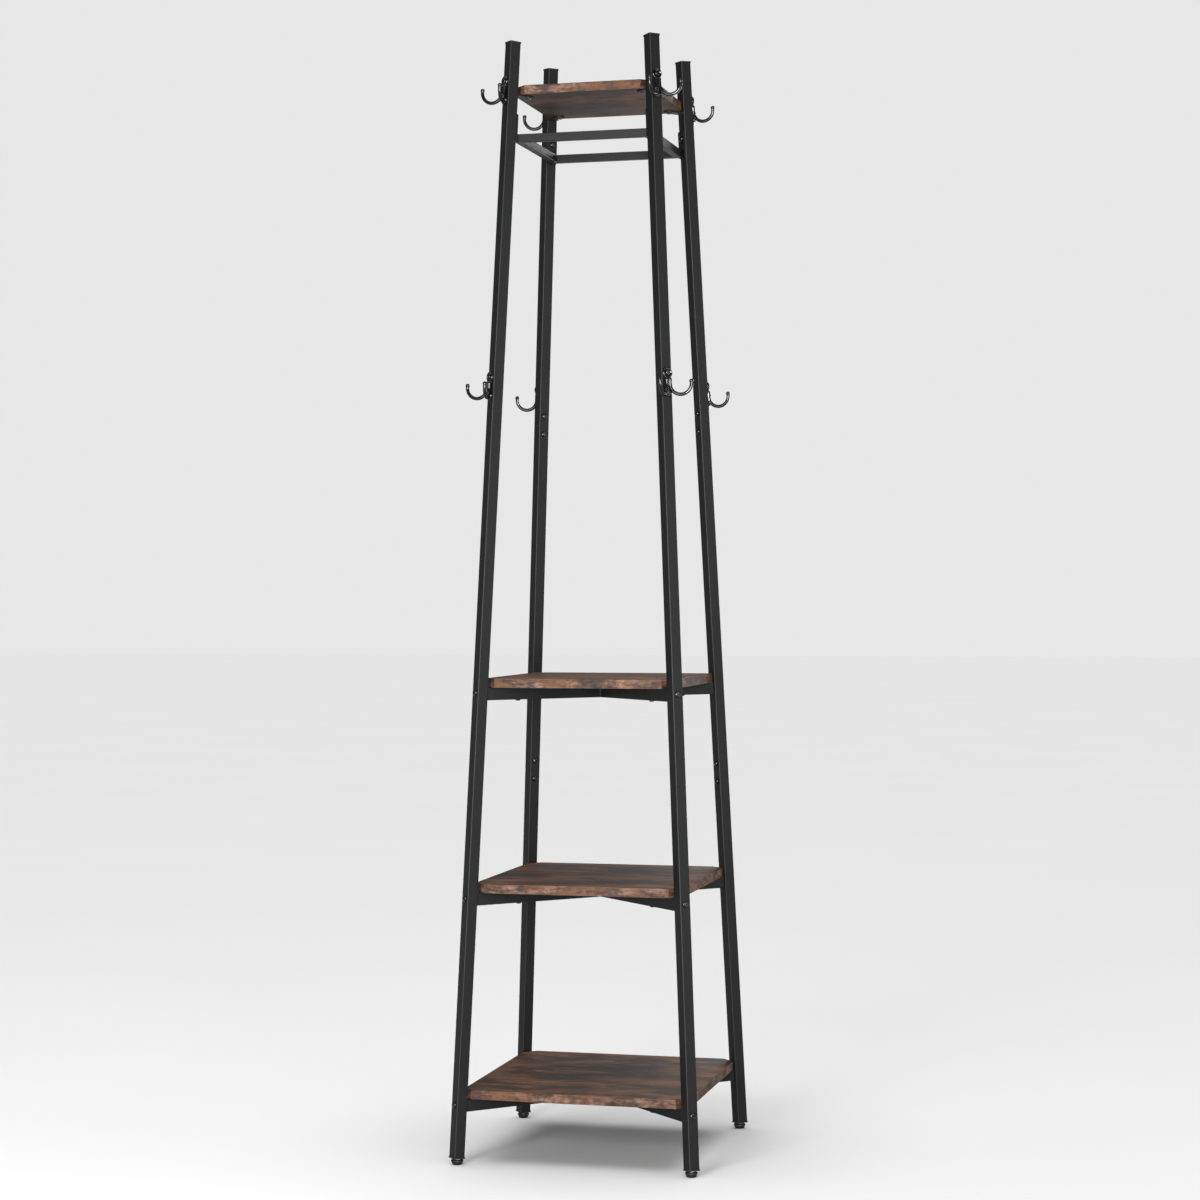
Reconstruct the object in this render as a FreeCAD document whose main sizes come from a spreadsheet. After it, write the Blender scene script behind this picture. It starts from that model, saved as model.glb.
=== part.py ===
import FreeCAD, Part
import os
import re
import Sketcher

# Hall tree with hooks: a free-standing rack for coats, hats, bags and shoes.
# Four square steel legs lean in towards the top.  Each leg is three tubes joined by
# sleeves inside them.  Three wooden shelves lie on bolted cross braces, a small top shelf
# lies on tabs, a square ring of bars stiffens the top, eight double hooks sit on the legs
# and the stand rests on four screw-in levelling feet.
#
# +Z is up, the floor is z = 0 and the origin is the centre of the footprint.  The front
# is -Y and the right side is +X.  All lengths are millimetres.
#
# Each leg is turned 45 degrees, so one face looks at the stand's centre line.  A leg's
# own frame has x pointing outwards, away from the centre line, y along the face and z
# up the tube, so that what is fixed to a leg is drawn square to it.

SIZES = (
    ("stand_height", 1800.0, "floor to the top of the end caps"),
    ("foot_spread", 384.0, "between neighbouring leg axes at the floor"),
    ("top_spread", 229.0, "between neighbouring leg axes at the top"),
    ("tube_side", 19.0, "legs: outside of the square tube"),
    ("tube_wall", 1.2, "legs: wall"),
    ("tube_corner", 1.5, "legs: outside corner radius"),
    ("slip_gap", 0.2, "clearance each side of what slides into a tube"),
    ("lower_seam", 607.0, "height of the joint of lower and middle tubes"),
    ("upper_seam", 1197.0, "height of the joint of middle and upper tubes"),
    ("sleeve_long", 48.0, "sleeve inside each joint: length"),
    ("sleeve_wall", 1.5, "sleeve: wall"),
    ("joint_pitch", 30.0, "between the two bolts of a joint"),
    ("cap_over", 0.7, "how far the caps and flanges stand out past the tube"),
    ("cap_head", 2.6, "end cap: thickness of the head"),
    ("cap_plug", 12.0, "end cap: depth inside the tube"),
    ("cap_wall", 1.8, "end cap: wall of the plug"),
    ("cap_round", 0.8, "end cap: rounding of its top edges"),
    ("flange_thick", 2.0, "foot plug: thickness of the flange"),
    ("flange_gap", 0.35, "foot plug: flange to the levelling screw's hexagon"),
    ("plug_long", 18.0, "foot plug: depth inside the tube"),
    ("stud_radius", 3.0, "levelling screw: radius of the threaded shank"),
    ("thread_play", 0.05, "radial play of the levelling screw in its plug"),
    ("stud_short", 2.0, "levelling screw: its end below the plug's upper end"),
    ("stud_tip", 0.8, "levelling screw: chamfer of its upper end"),
    ("collar_flats", 10.0, "levelling screw: hexagon across flats"),
    ("collar_play", 0.3, "levelling screw: hexagon above the pad"),
    ("collar_thick", 1.0, "levelling screw: thickness of the hexagon"),
    ("rivet_radius", 5.0, "levelling screw: radius of the head held in the pad"),
    ("rivet_thick", 2.4, "levelling screw: thickness of that head"),
    ("swivel_gap", 0.1, "play round the screw's head in the pad"),
    ("pad_radius", 10.0, "foot pad: widest radius"),
    ("pad_base", 7.5, "foot pad: radius of the face on the floor"),
    ("pad_tall", 8.0, "foot pad: height"),
    ("pad_wide_at", 5.8, "foot pad: height of the widest radius"),
    ("pad_shoulder", 8.4, "foot pad: radius of its flat top"),
    ("pad_turn_in", 0.5, "foot pad: its rim turns in at this much inside the widest radius"),
    ("pad_turn_down", 0.7, "foot pad: that turn below its flat top"),
    ("pad_floor", 2.2, "foot pad: plastic under the screw's head"),
    ("board_thick", 15.0, "shelves: thickness"),
    ("board_inset", 2.0, "shelves: edge inside the line of the leg axes"),
    ("corner_gap", 7.0, "shelves: cut corner to the leg's inward face"),
    ("bottom_shelf_top", 118.0, "height of the bottom shelf's top face"),
    ("lower_shelf_drop", 161.0, "lower shelf's top face below the lower seam"),
    ("upper_shelf_rise", 167.0, "upper shelf's top face above the lower seam"),
    ("top_shelf_drop", 71.0, "top shelf's top face below the top of the stand"),
    ("brace_tall", 20.0, "cross brace: height of the tube"),
    ("brace_wide", 12.0, "cross brace: width of the tube"),
    ("brace_wall", 1.2, "cross brace: wall"),
    ("slug_long", 14.0, "threaded slug in each end of a brace: length"),
    ("slug_gap", 0.1, "slug: clearance inside the brace"),
    ("screw_spread", 222.0, "between neighbouring shelf screws, along an edge"),
    ("screw_bite", 10.0, "shelf screws: depth in the board"),
    ("tab_thick", 2.5, "tabs of the ring and the top shelf: thickness"),
    ("tab_wide", 18.0, "tabs: width"),
    ("shelf_tab_long", 32.0, "top shelf tabs: reach from the leg"),
    ("shelf_tab_hole", 23.0, "top shelf tabs: hole from the leg"),
    ("ring_drop", 162.0, "ring: underside below the top of the stand"),
    ("ring_bar", 13.0, "ring: side of its square bars"),
    ("ring_wall", 1.2, "ring: wall of its bars"),
    ("ring_cut", 1.5, "ring: depth of the flat where a corner meets its tab"),
    ("ring_tab_long", 45.0, "ring tabs: height"),
    ("ring_bolt_rise", 33.0, "ring: bolts above its underside"),
    ("sleeve_to_screw", 2.0, "upper sleeve to the middle hooks' lower screws"),
    ("top_hook_drop", 105.0, "top hooks' lower ends below the top of the stand"),
    ("plate_thick", 3.5, "hook: thickness of the plate"),
    ("disc_radius", 9.0, "hook: radius of the plate's round top"),
    ("disc_at", 39.0, "hook: height of the round top's centre"),
    ("waist_half", 6.2, "hook: half width of the waist"),
    ("waist_at", 25.0, "hook: height of the waist"),
    ("lobe_across", 0.9, "hook: corner of the waist sideways, as a share of a round end's radius"),
    ("lobe_along", 0.4, "hook: the same corner lengthways, as a share of that radius"),
    ("heel_radius", 8.2, "hook: radius of the plate's round lower end"),
    ("heel_at", 9.0, "hook: height of the lower end's centre"),
    ("arm_radius", 3.0, "hook: radius of an arm"),
    ("arm_swing", 50.0, "hook: angle of an arm from straight out"),
    ("arm_root", 4.0, "hook: arm's start, out from the plate's middle"),
    ("arm_start", 31.0, "hook: height where an arm leaves the plate"),
    ("arm_bend", 17.0, "hook: radius of an arm's bend"),
    ("bend_at", 21.0, "hook: height of the bend's centre"),
    ("arm_tip", 24.5, "hook: height of an arm's end"),
    ("ball_radius", 3.5, "hook: radius of the ball on an arm's end"),
    ("hook_screw_low", 7.0, "hook: height of the lower screw"),
    ("bolt_radius", 3.0, "bolts of the frame: radius of the shank"),
    ("bolt_clear", 0.2, "clearance round a bolt in a plain hole"),
    ("bolt_head", 4.8, "bolts: radius of the head"),
    ("bolt_dome", 2.8, "bolts: height of the head"),
    ("bolt_socket", 1.7, "bolts: radius of the socket in the head"),
    ("socket_deep", 1.6, "bolts: depth of the socket"),
    ("bolt_spare", 3.0, "brace bolts: shank short of the slug's inner end"),
    ("short_bolt", 8.0, "bolts of the joints and the ring: length of the shank"),
    ("screw_radius", 2.0, "shelf and hook screws: radius of the shank"),
    ("screw_clear", 0.2, "clearance round a screw in a plain hole"),
    ("screw_head", 3.9, "screws: radius of the head"),
    ("screw_dome", 2.0, "screws: height of the head"),
    ("screw_slot", 1.1, "screws: half width of the recess in the head"),
    ("slot_deep", 1.0, "screws: depth of the recess"),
    ("hook_screw_long", 13.0, "hook screws: length of the shank"),
)

LEGS = {
    "front_left": (-1, -1, 225),
    "front_right": (1, -1, -45),
    "back_left": (-1, 1, 135),
    "back_right": (1, 1, 45),
}
SHELVES = ("bottom", "lower", "upper")
ROUND_ALL = 360.0
BEVEL_LEAN = -45.0
DOME_STEPS = 3
LEAST_CUT = 0.01

document = FreeCAD.newDocument("hall_tree")
sheet = document.addObject("Spreadsheet::Sheet", "Sizes")


def fill_sheet():
    """Put every driving size in the sheet, with its alias and what it is."""
    for row, (alias, value, meaning) in enumerate(SIZES, start=1):
        sheet.set("A%d" % row, str(value))
        sheet.setAlias("A%d" % row, alias)
        sheet.set("B%d" % row, meaning)
    document.recompute()


# Expressions.  A name with an underscore in it is a cell of the sheet.

def cells(text):
    """Turn the size names in an expression into references to the sheet."""
    return re.sub(r"[a-z]+(?:_[a-z]+)+", lambda found: "Sizes." + found.group(0), str(text))


def bind(thing, target, text):
    """Bind one property or constraint of an object to an expression."""
    thing.setExpression(target, cells(text))


def number(text):
    """The present value of an expression, to draw a sketch near its final shape."""
    value = sheet.evalExpression(cells(text))
    return float(getattr(value, "Value", value))


LEAN = "atan((foot_spread - top_spread)/sqrt(2)/stand_height)"
BORE_SIDE = "(tube_side - 2*tube_wall)"
SLIP_SIDE = "(tube_side - 2*tube_wall - 2*slip_gap)"
CAP_SIDE = "(tube_side + 2*cap_over)"
LEG_TOP = "(stand_height/cos(%s) - %s/2*tan(%s))" % (LEAN, CAP_SIDE, LEAN)
COLLAR_LOW = "(pad_tall + collar_play)"
COLLAR_CORNER = "(collar_flats/sqrt(3))"
FLANGE_LOW = "(%s + collar_thick + flange_gap + %s*sin(%s))" % (COLLAR_LOW, COLLAR_CORNER, LEAN)
FOOT_RISE = "(%s + flange_thick)" % FLANGE_LOW
FOOT_AXIS_AT = "(%s + plug_long/2)" % FOOT_RISE
STUD_TOP = "(%s + plug_long - stud_short)" % FOOT_RISE
BRACE_HOLLOW_WIDE = "(brace_wide - 2*brace_wall)"
BRACE_HOLLOW_TALL = "(brace_tall - 2*brace_wall)"
SHELF_TOPS = {
    "bottom": "bottom_shelf_top",
    "lower": "(lower_seam - lower_shelf_drop)",
    "upper": "(lower_seam + upper_shelf_rise)",
    "top": "(stand_height - top_shelf_drop)",
}
SHELF_TAB_TOP = "(%s - board_thick)" % SHELF_TOPS["top"]
RING_LOW = "(stand_height - ring_drop)"
RING_TOP = "(%s + ring_bar)" % RING_LOW
RING_BOLT_AT = "(%s + ring_bolt_rise)" % RING_LOW
SLEEVE_TOP = "(upper_seam + sleeve_long/2)"
HOOK_LOWS = {
    "middle": "(%s + sleeve_to_screw + screw_radius - hook_screw_low)" % SLEEVE_TOP,
    "top": "(stand_height - top_hook_drop)",
}


def leg_half(height):
    """Half the distance between neighbouring leg axes at a height."""
    return "((foot_spread - (foot_spread - top_spread)*(%s)/stand_height)/2)" % height


def along(height):
    """Distance up a leg's axis from the floor to a height."""
    return "((%s)/cos(%s))" % (height, LEAN)


def inward_face(height):
    """Distance of the legs' inward faces from the centre line at a height."""
    return "(%s*sqrt(2) - tube_side/2/cos(%s))" % (leg_half(height), LEAN)


def frame(x, y, z, yaw="0", pitch="0", roll="0"):
    """An expression for a placement: a point and three turns."""
    return "placement(vector(%s;%s;%s);rotation(%s;%s;%s))" % (x, y, z, yaw, pitch, roll)


def leg_frame(leg, height, pitch="-(%s)" % LEAN, roll="0"):
    """A leg's own frame, with its origin on the leg's axis at a height."""
    side_x, side_y, yaw = LEGS[leg]
    half = leg_half(height)
    return frame("%d*%s" % (side_x, half), "%d*%s" % (side_y, half), height, yaw, pitch, roll)


def flat(height):
    """A level drawing plane: x and y as the body's."""
    return frame("0", "0", height)


def upright(x="0", z="0", yaw="0"):
    """An upright drawing plane: its x runs out at the yaw angle, its y runs up."""
    return frame(x, "0", z, yaw, "0", "90")


def facing(x, z):
    """A drawing plane that looks along the body's x: its x is the body's y."""
    return frame(x, "0", z, "90", "0", "90")


# Sketches and features.

def new_body(label, group=False):
    """A body for one node.  A group holds several solids that aren't joined."""
    body = document.addObject("PartDesign::Body", label)
    body.Label = label
    body.AllowCompound = group
    return body


def origin_feature(body, role):
    return [item for item in body.Origin.OriginFeatures if item.Role == role][0]


def new_sketch(body, name, plane):
    """A sketch on the body's XY plane, moved to a drawing plane."""
    sketch = body.newObject("Sketcher::SketchObject", name)
    sketch.AttachmentSupport = [(origin_feature(body, "XY_Plane"), "")]
    sketch.MapMode = "FlatFace"
    bind(sketch, "AttachmentOffset", plane)
    return sketch


def constrain(sketch, name, text, *constraint):
    """Add one dimension to a sketch and bind it to an expression."""
    index = sketch.addConstraint(Sketcher.Constraint(*constraint, number(text)))
    sketch.renameConstraint(index, name)
    bind(sketch, "Constraints." + name, text)


def place_point(sketch, name, geometry, position, x, y):
    """Dimension one point of a sketch from its origin."""
    constrain(sketch, name + "x", x, "DistanceX", -1, 1, geometry, position)
    constrain(sketch, name + "y", y, "DistanceY", -1, 1, geometry, position)


def draw_polygon(sketch, points):
    """A closed outline of straight lines through points given as expressions."""
    corners = [FreeCAD.Vector(number(x), number(y), 0) for x, y in points]
    count = len(points)
    for i in range(count):
        sketch.addGeometry(Part.LineSegment(corners[i], corners[(i + 1) % count]))
    for i in range(count):
        sketch.addConstraint(Sketcher.Constraint("Coincident", i, 2, (i + 1) % count, 1))
    for i, (x, y) in enumerate(points):
        place_point(sketch, "p%d" % i, i, 1, x, y)


def draw_circle(sketch, radius, x="0", y="0"):
    centre = FreeCAD.Vector(number(x), number(y), 0)
    index = sketch.addGeometry(Part.Circle(centre, FreeCAD.Vector(0, 0, 1), number(radius)))
    place_point(sketch, "c%d" % index, index, 3, x, y)
    constrain(sketch, "r%d" % index, radius, "Radius", index)


def draw_rectangle(sketch, width, height, x="0", y="0"):
    left, right = "%s - (%s)/2" % (x, width), "%s + (%s)/2" % (x, width)
    low, high = "%s - (%s)/2" % (y, height), "%s + (%s)/2" % (y, height)
    draw_polygon(sketch, ((left, low), (right, low), (right, high), (left, high)))


def draw_rounded_square(sketch, side, radius):
    """A square with round corners: four arcs with lines tangent between them."""
    inset = "((%s)/2 - %s)" % (side, radius)
    half, reach, bend = number("(%s)/2" % side), number(inset), number(radius)
    signs = ((1, -1), (1, 1), (-1, 1), (-1, -1))
    for i, (sx, sy) in enumerate(signs):
        centre = FreeCAD.Vector(sx * reach, sy * reach, 0)
        circle = Part.Circle(centre, FreeCAD.Vector(0, 0, 1), bend)
        start = (i - 1) * 90.0
        sketch.addGeometry(Part.ArcOfCircle(circle, radians(start), radians(start + 90.0)))
        place_point(sketch, "c%d" % i, i, 3, "%d*%s" % (sx, inset), "%d*%s" % (sy, inset))
        constrain(sketch, "r%d" % i, radius, "Radius", i)
    ends = (
        ((half, -reach), (half, reach)),
        ((reach, half), (-reach, half)),
        ((-half, reach), (-half, -reach)),
        ((-reach, -half), (reach, -half)),
    )
    for i, (start, end) in enumerate(ends):
        line = Part.LineSegment(FreeCAD.Vector(*start, 0), FreeCAD.Vector(*end, 0))
        index = sketch.addGeometry(line)
        sketch.addConstraint(Sketcher.Constraint("Tangent", i, 2, index, 1))
        sketch.addConstraint(Sketcher.Constraint("Tangent", index, 2, (i + 1) % 4, 1))


def radians(degrees):
    return FreeCAD.Units.Quantity(degrees, FreeCAD.Units.Angle).getValueAs("rad").Value


def pad(body, sketch, length, middle=False, reverse=False):
    feature = body.newObject("PartDesign::Pad", sketch.Name + "_pad")
    feature.Profile = sketch
    feature.SideType = "Symmetric" if middle else "One side"
    feature.Reversed = reverse
    bind(feature, "Length", length)
    return feature


def pocket(body, sketch, length, middle=False, reverse=False):
    """Cut a sketch away: forwards is along the drawing plane's normal."""
    feature = body.newObject("PartDesign::Pocket", sketch.Name + "_pocket")
    feature.Profile = sketch
    feature.SideType = "Symmetric" if middle else "One side"
    feature.Reversed = not reverse
    bind(feature, "Length", length)
    return feature


def drill(body, name, plane, radius, length, middle=False, reverse=False):
    """A round hole about the origin of a drawing plane."""
    sketch = new_sketch(body, name, plane)
    draw_circle(sketch, radius)
    return pocket(body, sketch, length, middle, reverse)


def revolve(body, name, plane, points, axis="V_Axis"):
    """Turn an outline through a full circle about an axis of its own sketch."""
    sketch = new_sketch(body, name, plane)
    draw_polygon(sketch, points)
    feature = body.newObject("PartDesign::Revolution", name + "_turned")
    feature.Profile = sketch
    feature.ReferenceAxis = (sketch, [axis])
    feature.Angle = ROUND_ALL
    return feature


def repeat_round(body, features, count):
    """Repeat features about the stand's centre line."""
    pattern = body.newObject("PartDesign::PolarPattern", body.Name + "_round")
    pattern.Originals = features
    pattern.Axis = (origin_feature(body, "Z_Axis"), [""])
    pattern.Angle = ROUND_ALL
    pattern.Occurrences = count
    body.Tip = pattern
    return pattern


# Legs, sleeves, end caps.

def brace_middle(shelf):
    """Height of the middle of a shelf's cross brace."""
    return "(%s - board_thick - brace_tall/2)" % SHELF_TOPS[shelf]


def brace_bolt_at(shelf):
    """Height on a leg's axis of a brace bolt, which then meets the slug's middle."""
    drop = "(tube_side/2 + slug_long/2)*sin(%s)" % LEAN
    return "(%s + %s)" % (brace_middle(shelf), drop)


def joint_bolt_heights(seam):
    return ("(%s - joint_pitch/2)" % seam, "(%s + joint_pitch/2)" % seam)


def drill_inward(body, name, height, radius):
    """A hole in the inward wall only."""
    return drill(body, name, facing("0", along(height)), radius, "tube_side", reverse=True)


def drill_outward(body, name, height, radius):
    """A hole in the outward wall only."""
    return drill(body, name, facing("0", along(height)), radius, "tube_side")


def drill_through(body, name, height, radius):
    """A hole through both walls."""
    return drill(body, name, facing("0", along(height)), radius, "2*tube_side", middle=True)


def make_tube(leg, part, low, high):
    """One square tube of a leg, between two distances up its axis."""
    body = new_body("%s_%s_leg" % (leg, part))
    bind(body, "Placement", leg_frame(leg, "0"))
    outside = new_sketch(body, "outside", flat(low))
    draw_rounded_square(outside, "tube_side", "tube_corner")
    pad(body, outside, "%s - %s" % (high, low))
    inside = new_sketch(body, "inside", flat(low))
    draw_rectangle(inside, BORE_SIDE, BORE_SIDE)
    pocket(body, inside, "%s - %s" % (high, low))
    return body


def hook_screw_heights(level):
    start = HOOK_LOWS[level]
    return (
        "(%s + hook_screw_low*cos(%s))" % (start, LEAN),
        "(%s + disc_at*cos(%s))" % (start, LEAN),
    )


def make_lower_leg(leg):
    body = make_tube(leg, "lower", along(FOOT_RISE), along("lower_seam"))
    for shelf in ("bottom", "lower"):
        drill_through(body, shelf + "_brace_hole", brace_bolt_at(shelf), "bolt_radius + bolt_clear")
    drill_inward(body, "joint_hole", joint_bolt_heights("lower_seam")[0], "bolt_radius + bolt_clear")


def make_middle_leg(leg):
    body = make_tube(leg, "middle", along("lower_seam"), along("upper_seam"))
    drill_through(body, "upper_brace_hole", brace_bolt_at("upper"), "bolt_radius + bolt_clear")
    drill_inward(body, "low_joint_hole", joint_bolt_heights("lower_seam")[1], "bolt_radius + bolt_clear")
    drill_inward(body, "high_joint_hole", joint_bolt_heights("upper_seam")[0], "bolt_radius + bolt_clear")


def make_upper_leg(leg):
    body = make_tube(leg, "upper", along("upper_seam"), LEG_TOP + " - cap_head")
    drill_inward(body, "joint_hole", joint_bolt_heights("upper_seam")[1], "bolt_radius + bolt_clear")
    drill_inward(body, "ring_bolt_hole", RING_BOLT_AT, "bolt_radius")
    for level in ("middle", "top"):
        for i, height in enumerate(hook_screw_heights(level)):
            drill_outward(body, "%s_hook_hole%d" % (level, i), height, "screw_radius")


def make_sleeves():
    """Eight loose sleeves, one inside every joint, tapped for two bolts each."""
    body = new_body("leg_sleeves", group=True)
    features = []
    for seam in ("lower_seam", "upper_seam"):
        outside = new_sketch(body, seam + "_outside", leg_frame("front_right", seam))
        draw_rectangle(outside, SLIP_SIDE, SLIP_SIDE)
        features.append(pad(body, outside, "sleeve_long", middle=True))
        inside = new_sketch(body, seam + "_inside", leg_frame("front_right", seam))
        hollow = "%s - 2*sleeve_wall" % SLIP_SIDE
        draw_rectangle(inside, hollow, hollow)
        features.append(pocket(body, inside, "2*sleeve_long", middle=True))
        for i, height in enumerate(joint_bolt_heights(seam)):
            plane = leg_frame("front_right", height, "90 deg - %s" % LEAN)
            name = "%s_tapping%d" % (seam, i)
            features.append(drill(body, name, plane, "bolt_radius", "tube_side", reverse=True))
    repeat_round(body, features, 4)


def make_end_cap(leg):
    """A plastic cap: a square head on the tube and a hollow plug inside it."""
    body = new_body(leg + "_end_cap")
    bind(body, "Placement", leg_frame(leg, "0"))
    head = new_sketch(body, "head", flat(LEG_TOP + " - cap_head"))
    draw_rounded_square(head, CAP_SIDE, "tube_corner")
    pad(body, head, "cap_head - cap_round")
    rim = new_sketch(body, "rim", flat(LEG_TOP + " - cap_round"))
    draw_rounded_square(rim, CAP_SIDE, "tube_corner")
    taper = pad(body, rim, "cap_round")
    taper.TaperAngle = BEVEL_LEAN
    plug = new_sketch(body, "plug", flat(LEG_TOP + " - cap_head"))
    draw_rectangle(plug, SLIP_SIDE, SLIP_SIDE)
    pad(body, plug, "cap_plug", reverse=True)
    hollow = new_sketch(body, "hollow", flat(LEG_TOP + " - cap_head"))
    draw_rectangle(hollow, SLIP_SIDE + " - 2*cap_wall", SLIP_SIDE + " - 2*cap_wall")
    pocket(body, hollow, "cap_plug", reverse=True)


# Levelling feet.

def make_foot_plug(leg):
    """The plug in a leg's lower end.  Its threaded bore stands upright."""
    body = new_body(leg + "_foot_plug")
    bind(body, "Placement", leg_frame(leg, "0"))
    low = along(FOOT_RISE)
    flange = new_sketch(body, "flange", flat(low))
    draw_rounded_square(flange, CAP_SIDE, "tube_corner")
    pad(body, flange, "flange_thick", reverse=True)
    plug = new_sketch(body, "plug", flat(low))
    draw_rectangle(plug, SLIP_SIDE, SLIP_SIDE)
    pad(body, plug, "plug_long")
    plane = frame("0", "0", along(FOOT_AXIS_AT), "0", LEAN)
    drill(body, "thread", plane, "stud_radius + thread_play", "2*plug_long", middle=True)


def foot_frame(leg):
    """Upright frame on the floor under a leg, on its levelling screw's axis."""
    side_x, side_y, _ = LEGS[leg]
    half = leg_half(FOOT_AXIS_AT)
    return frame("%d*%s" % (side_x, half), "%d*%s" % (side_y, half), "0")


def make_foot_screw(leg):
    """A screw with a hexagon to turn it by and a flat head that swivels in the pad."""
    body = new_body(leg + "_foot_screw")
    bind(body, "Placement", foot_frame(leg))
    head_low = "pad_floor + swivel_gap"
    head_high = "pad_floor + swivel_gap + rivet_thick"
    outline = (
        ("0", head_low),
        ("rivet_radius", head_low),
        ("rivet_radius", head_high),
        ("stud_radius", head_high),
        ("stud_radius", STUD_TOP + " - stud_tip"),
        ("stud_radius - stud_tip", STUD_TOP),
        ("0", STUD_TOP),
    )
    revolve(body, "shank", upright(), outline)
    collar = new_sketch(body, "collar", flat(COLLAR_LOW))
    turns = [(COLLAR_CORNER, 60 * i) for i in range(6)]
    draw_polygon(collar, [("%s*cos(%d deg)" % turn, "%s*sin(%d deg)" % turn) for turn in turns])
    pad(body, collar, "collar_thick")


def make_foot_pad(leg):
    """A round plastic pad with a socket for the screw's head."""
    body = new_body(leg + "_foot_pad")
    bind(body, "Placement", foot_frame(leg))
    throat = "stud_radius + swivel_gap"
    room = "rivet_radius + swivel_gap"
    ceiling = "pad_floor + rivet_thick + 2*swivel_gap"
    outline = (
        ("0", "0"),
        ("pad_base", "0"),
        ("pad_radius", "pad_wide_at"),
        ("pad_radius - pad_turn_in", "pad_tall - pad_turn_down"),
        ("pad_shoulder", "pad_tall"),
        (throat, "pad_tall"),
        (throat, ceiling),
        (room, ceiling),
        (room, "pad_floor"),
        ("0", "pad_floor"),
    )
    revolve(body, "shell", upright(), outline)


# Shelves, braces, tabs.

def draw_board(sketch, top):
    """A square with its corners cut to clear the legs."""
    half = "(%s - board_inset)" % leg_half(top)
    short = "((%s - corner_gap)*sqrt(2) - %s)" % (inward_face(top), half)
    points = []
    for sx, sy in ((1, -1), (1, 1), (-1, 1), (-1, -1)):
        ends = [("%d*%s" % (sx, short), "%d*%s" % (sy, half)), ("%d*%s" % (sx, half), "%d*%s" % (sy, short))]
        points += ends if sx * sy < 0 else ends[::-1]
    draw_polygon(sketch, points)


def make_shelf(name, screw_x):
    """A board with four blind holes underneath for its screws."""
    top = SHELF_TOPS[name]
    body = new_body(name + "_shelf")
    board = new_sketch(body, "board", flat(top + " - board_thick"))
    draw_board(board, top)
    pad(body, board, "board_thick")
    holes = new_sketch(body, "holes", flat(top + " - board_thick"))
    for sx in (-1, 1):
        for sy in (-1, 1):
            draw_circle(holes, "screw_radius", "%d*%s" % (sx, screw_x), "%d*%s" % (sy, screw_x))
    pocket(body, holes, "screw_bite")


def brace_end(height):
    return inward_face("(%s)" % height)


def bar_outline(shelf, start_low, start_high):
    """Side view of a brace bar from its inner end to the leaning face of a leg."""
    low = "(%s - brace_tall/2)" % brace_middle(shelf)
    high = "(%s + brace_tall/2)" % brace_middle(shelf)
    return ((start_low, low), (brace_end(low), low), (brace_end(high), high), (start_high, high))


def hollow_bar(body, shelf, yaw):
    """Open a bar from end to end, leaving its walls."""
    inside = new_sketch(body, "inside", frame("0", "0", brace_middle(shelf), str(yaw + 90), "0", "90"))
    draw_rectangle(inside, BRACE_HOLLOW_WIDE, BRACE_HOLLOW_TALL)
    pocket(body, inside, "2*foot_spread", middle=True)


def screw_holes(body, shelf, signs):
    """Plain holes for the shelf screws, through a bar from below."""
    holes = new_sketch(body, "screw_holes", flat(brace_middle(shelf)))
    for sx, sy in signs:
        draw_circle(holes, "screw_radius + screw_clear", "%d*screw_spread/2" % sx, "%d*screw_spread/2" % sy)
    return pocket(body, holes, "2*brace_tall", middle=True)


def make_long_bar(shelf):
    """The unbroken bar of a cross brace, from front left to back right."""
    body = new_body(shelf + "_brace_long_bar")
    low = "(%s - brace_tall/2)" % brace_middle(shelf)
    high = "(%s + brace_tall/2)" % brace_middle(shelf)
    side = new_sketch(body, "side", upright(yaw="45"))
    draw_polygon(side, bar_outline(shelf, "-%s" % brace_end(low), "-%s" % brace_end(high)))
    pad(body, side, "brace_wide", middle=True)
    hollow_bar(body, shelf, 45)
    screw_holes(body, shelf, ((1, 1), (-1, -1)))


def make_short_bars(shelf):
    """The two half bars of a cross brace, welded to the sides of the long bar."""
    body = new_body(shelf + "_brace_short_bars", group=True)
    side = new_sketch(body, "side", upright(yaw="-45"))
    draw_polygon(side, bar_outline(shelf, "brace_wide/2", "brace_wide/2"))
    solid = pad(body, side, "brace_wide", middle=True)
    inside = new_sketch(body, "inside", frame("0", "0", brace_middle(shelf), "45", "0", "90"))
    draw_rectangle(inside, BRACE_HOLLOW_WIDE, BRACE_HOLLOW_TALL)
    hollow = pocket(body, inside, "foot_spread")
    hole = screw_holes(body, shelf, ((1, -1),))
    repeat_round(body, [solid, hollow, hole], 2)


def make_slugs():
    """Threaded steel slugs welded into the ends of the braces, for the leg bolts."""
    body = new_body("brace_end_slugs", group=True)
    features = []
    for shelf in SHELVES:
        low = "(%s - brace_tall/2 + brace_wall + slug_gap)" % brace_middle(shelf)
        high = "(%s + brace_tall/2 - brace_wall - slug_gap)" % brace_middle(shelf)
        side = new_sketch(body, shelf + "_side", upright(yaw="-45"))
        inner = "%s - slug_long" % brace_end(high)
        outline = ((inner, low), (brace_end(low), low), (brace_end(high), high), (inner, high))
        draw_polygon(side, outline)
        features.append(pad(body, side, "brace_wide - 2*brace_wall - 2*slug_gap", middle=True))
        plane = leg_frame("front_right", brace_bolt_at(shelf), "90 deg - %s" % LEAN)
        features.append(drill(body, shelf + "_thread", plane, "bolt_radius", "3*tube_side", reverse=True))
    repeat_round(body, features, 4)


def shelf_tab_screw():
    """Distance of a top shelf screw from the centre line, along x or y."""
    return "((%s - shelf_tab_hole)/sqrt(2))" % inward_face(SHELF_TAB_TOP)


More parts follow.
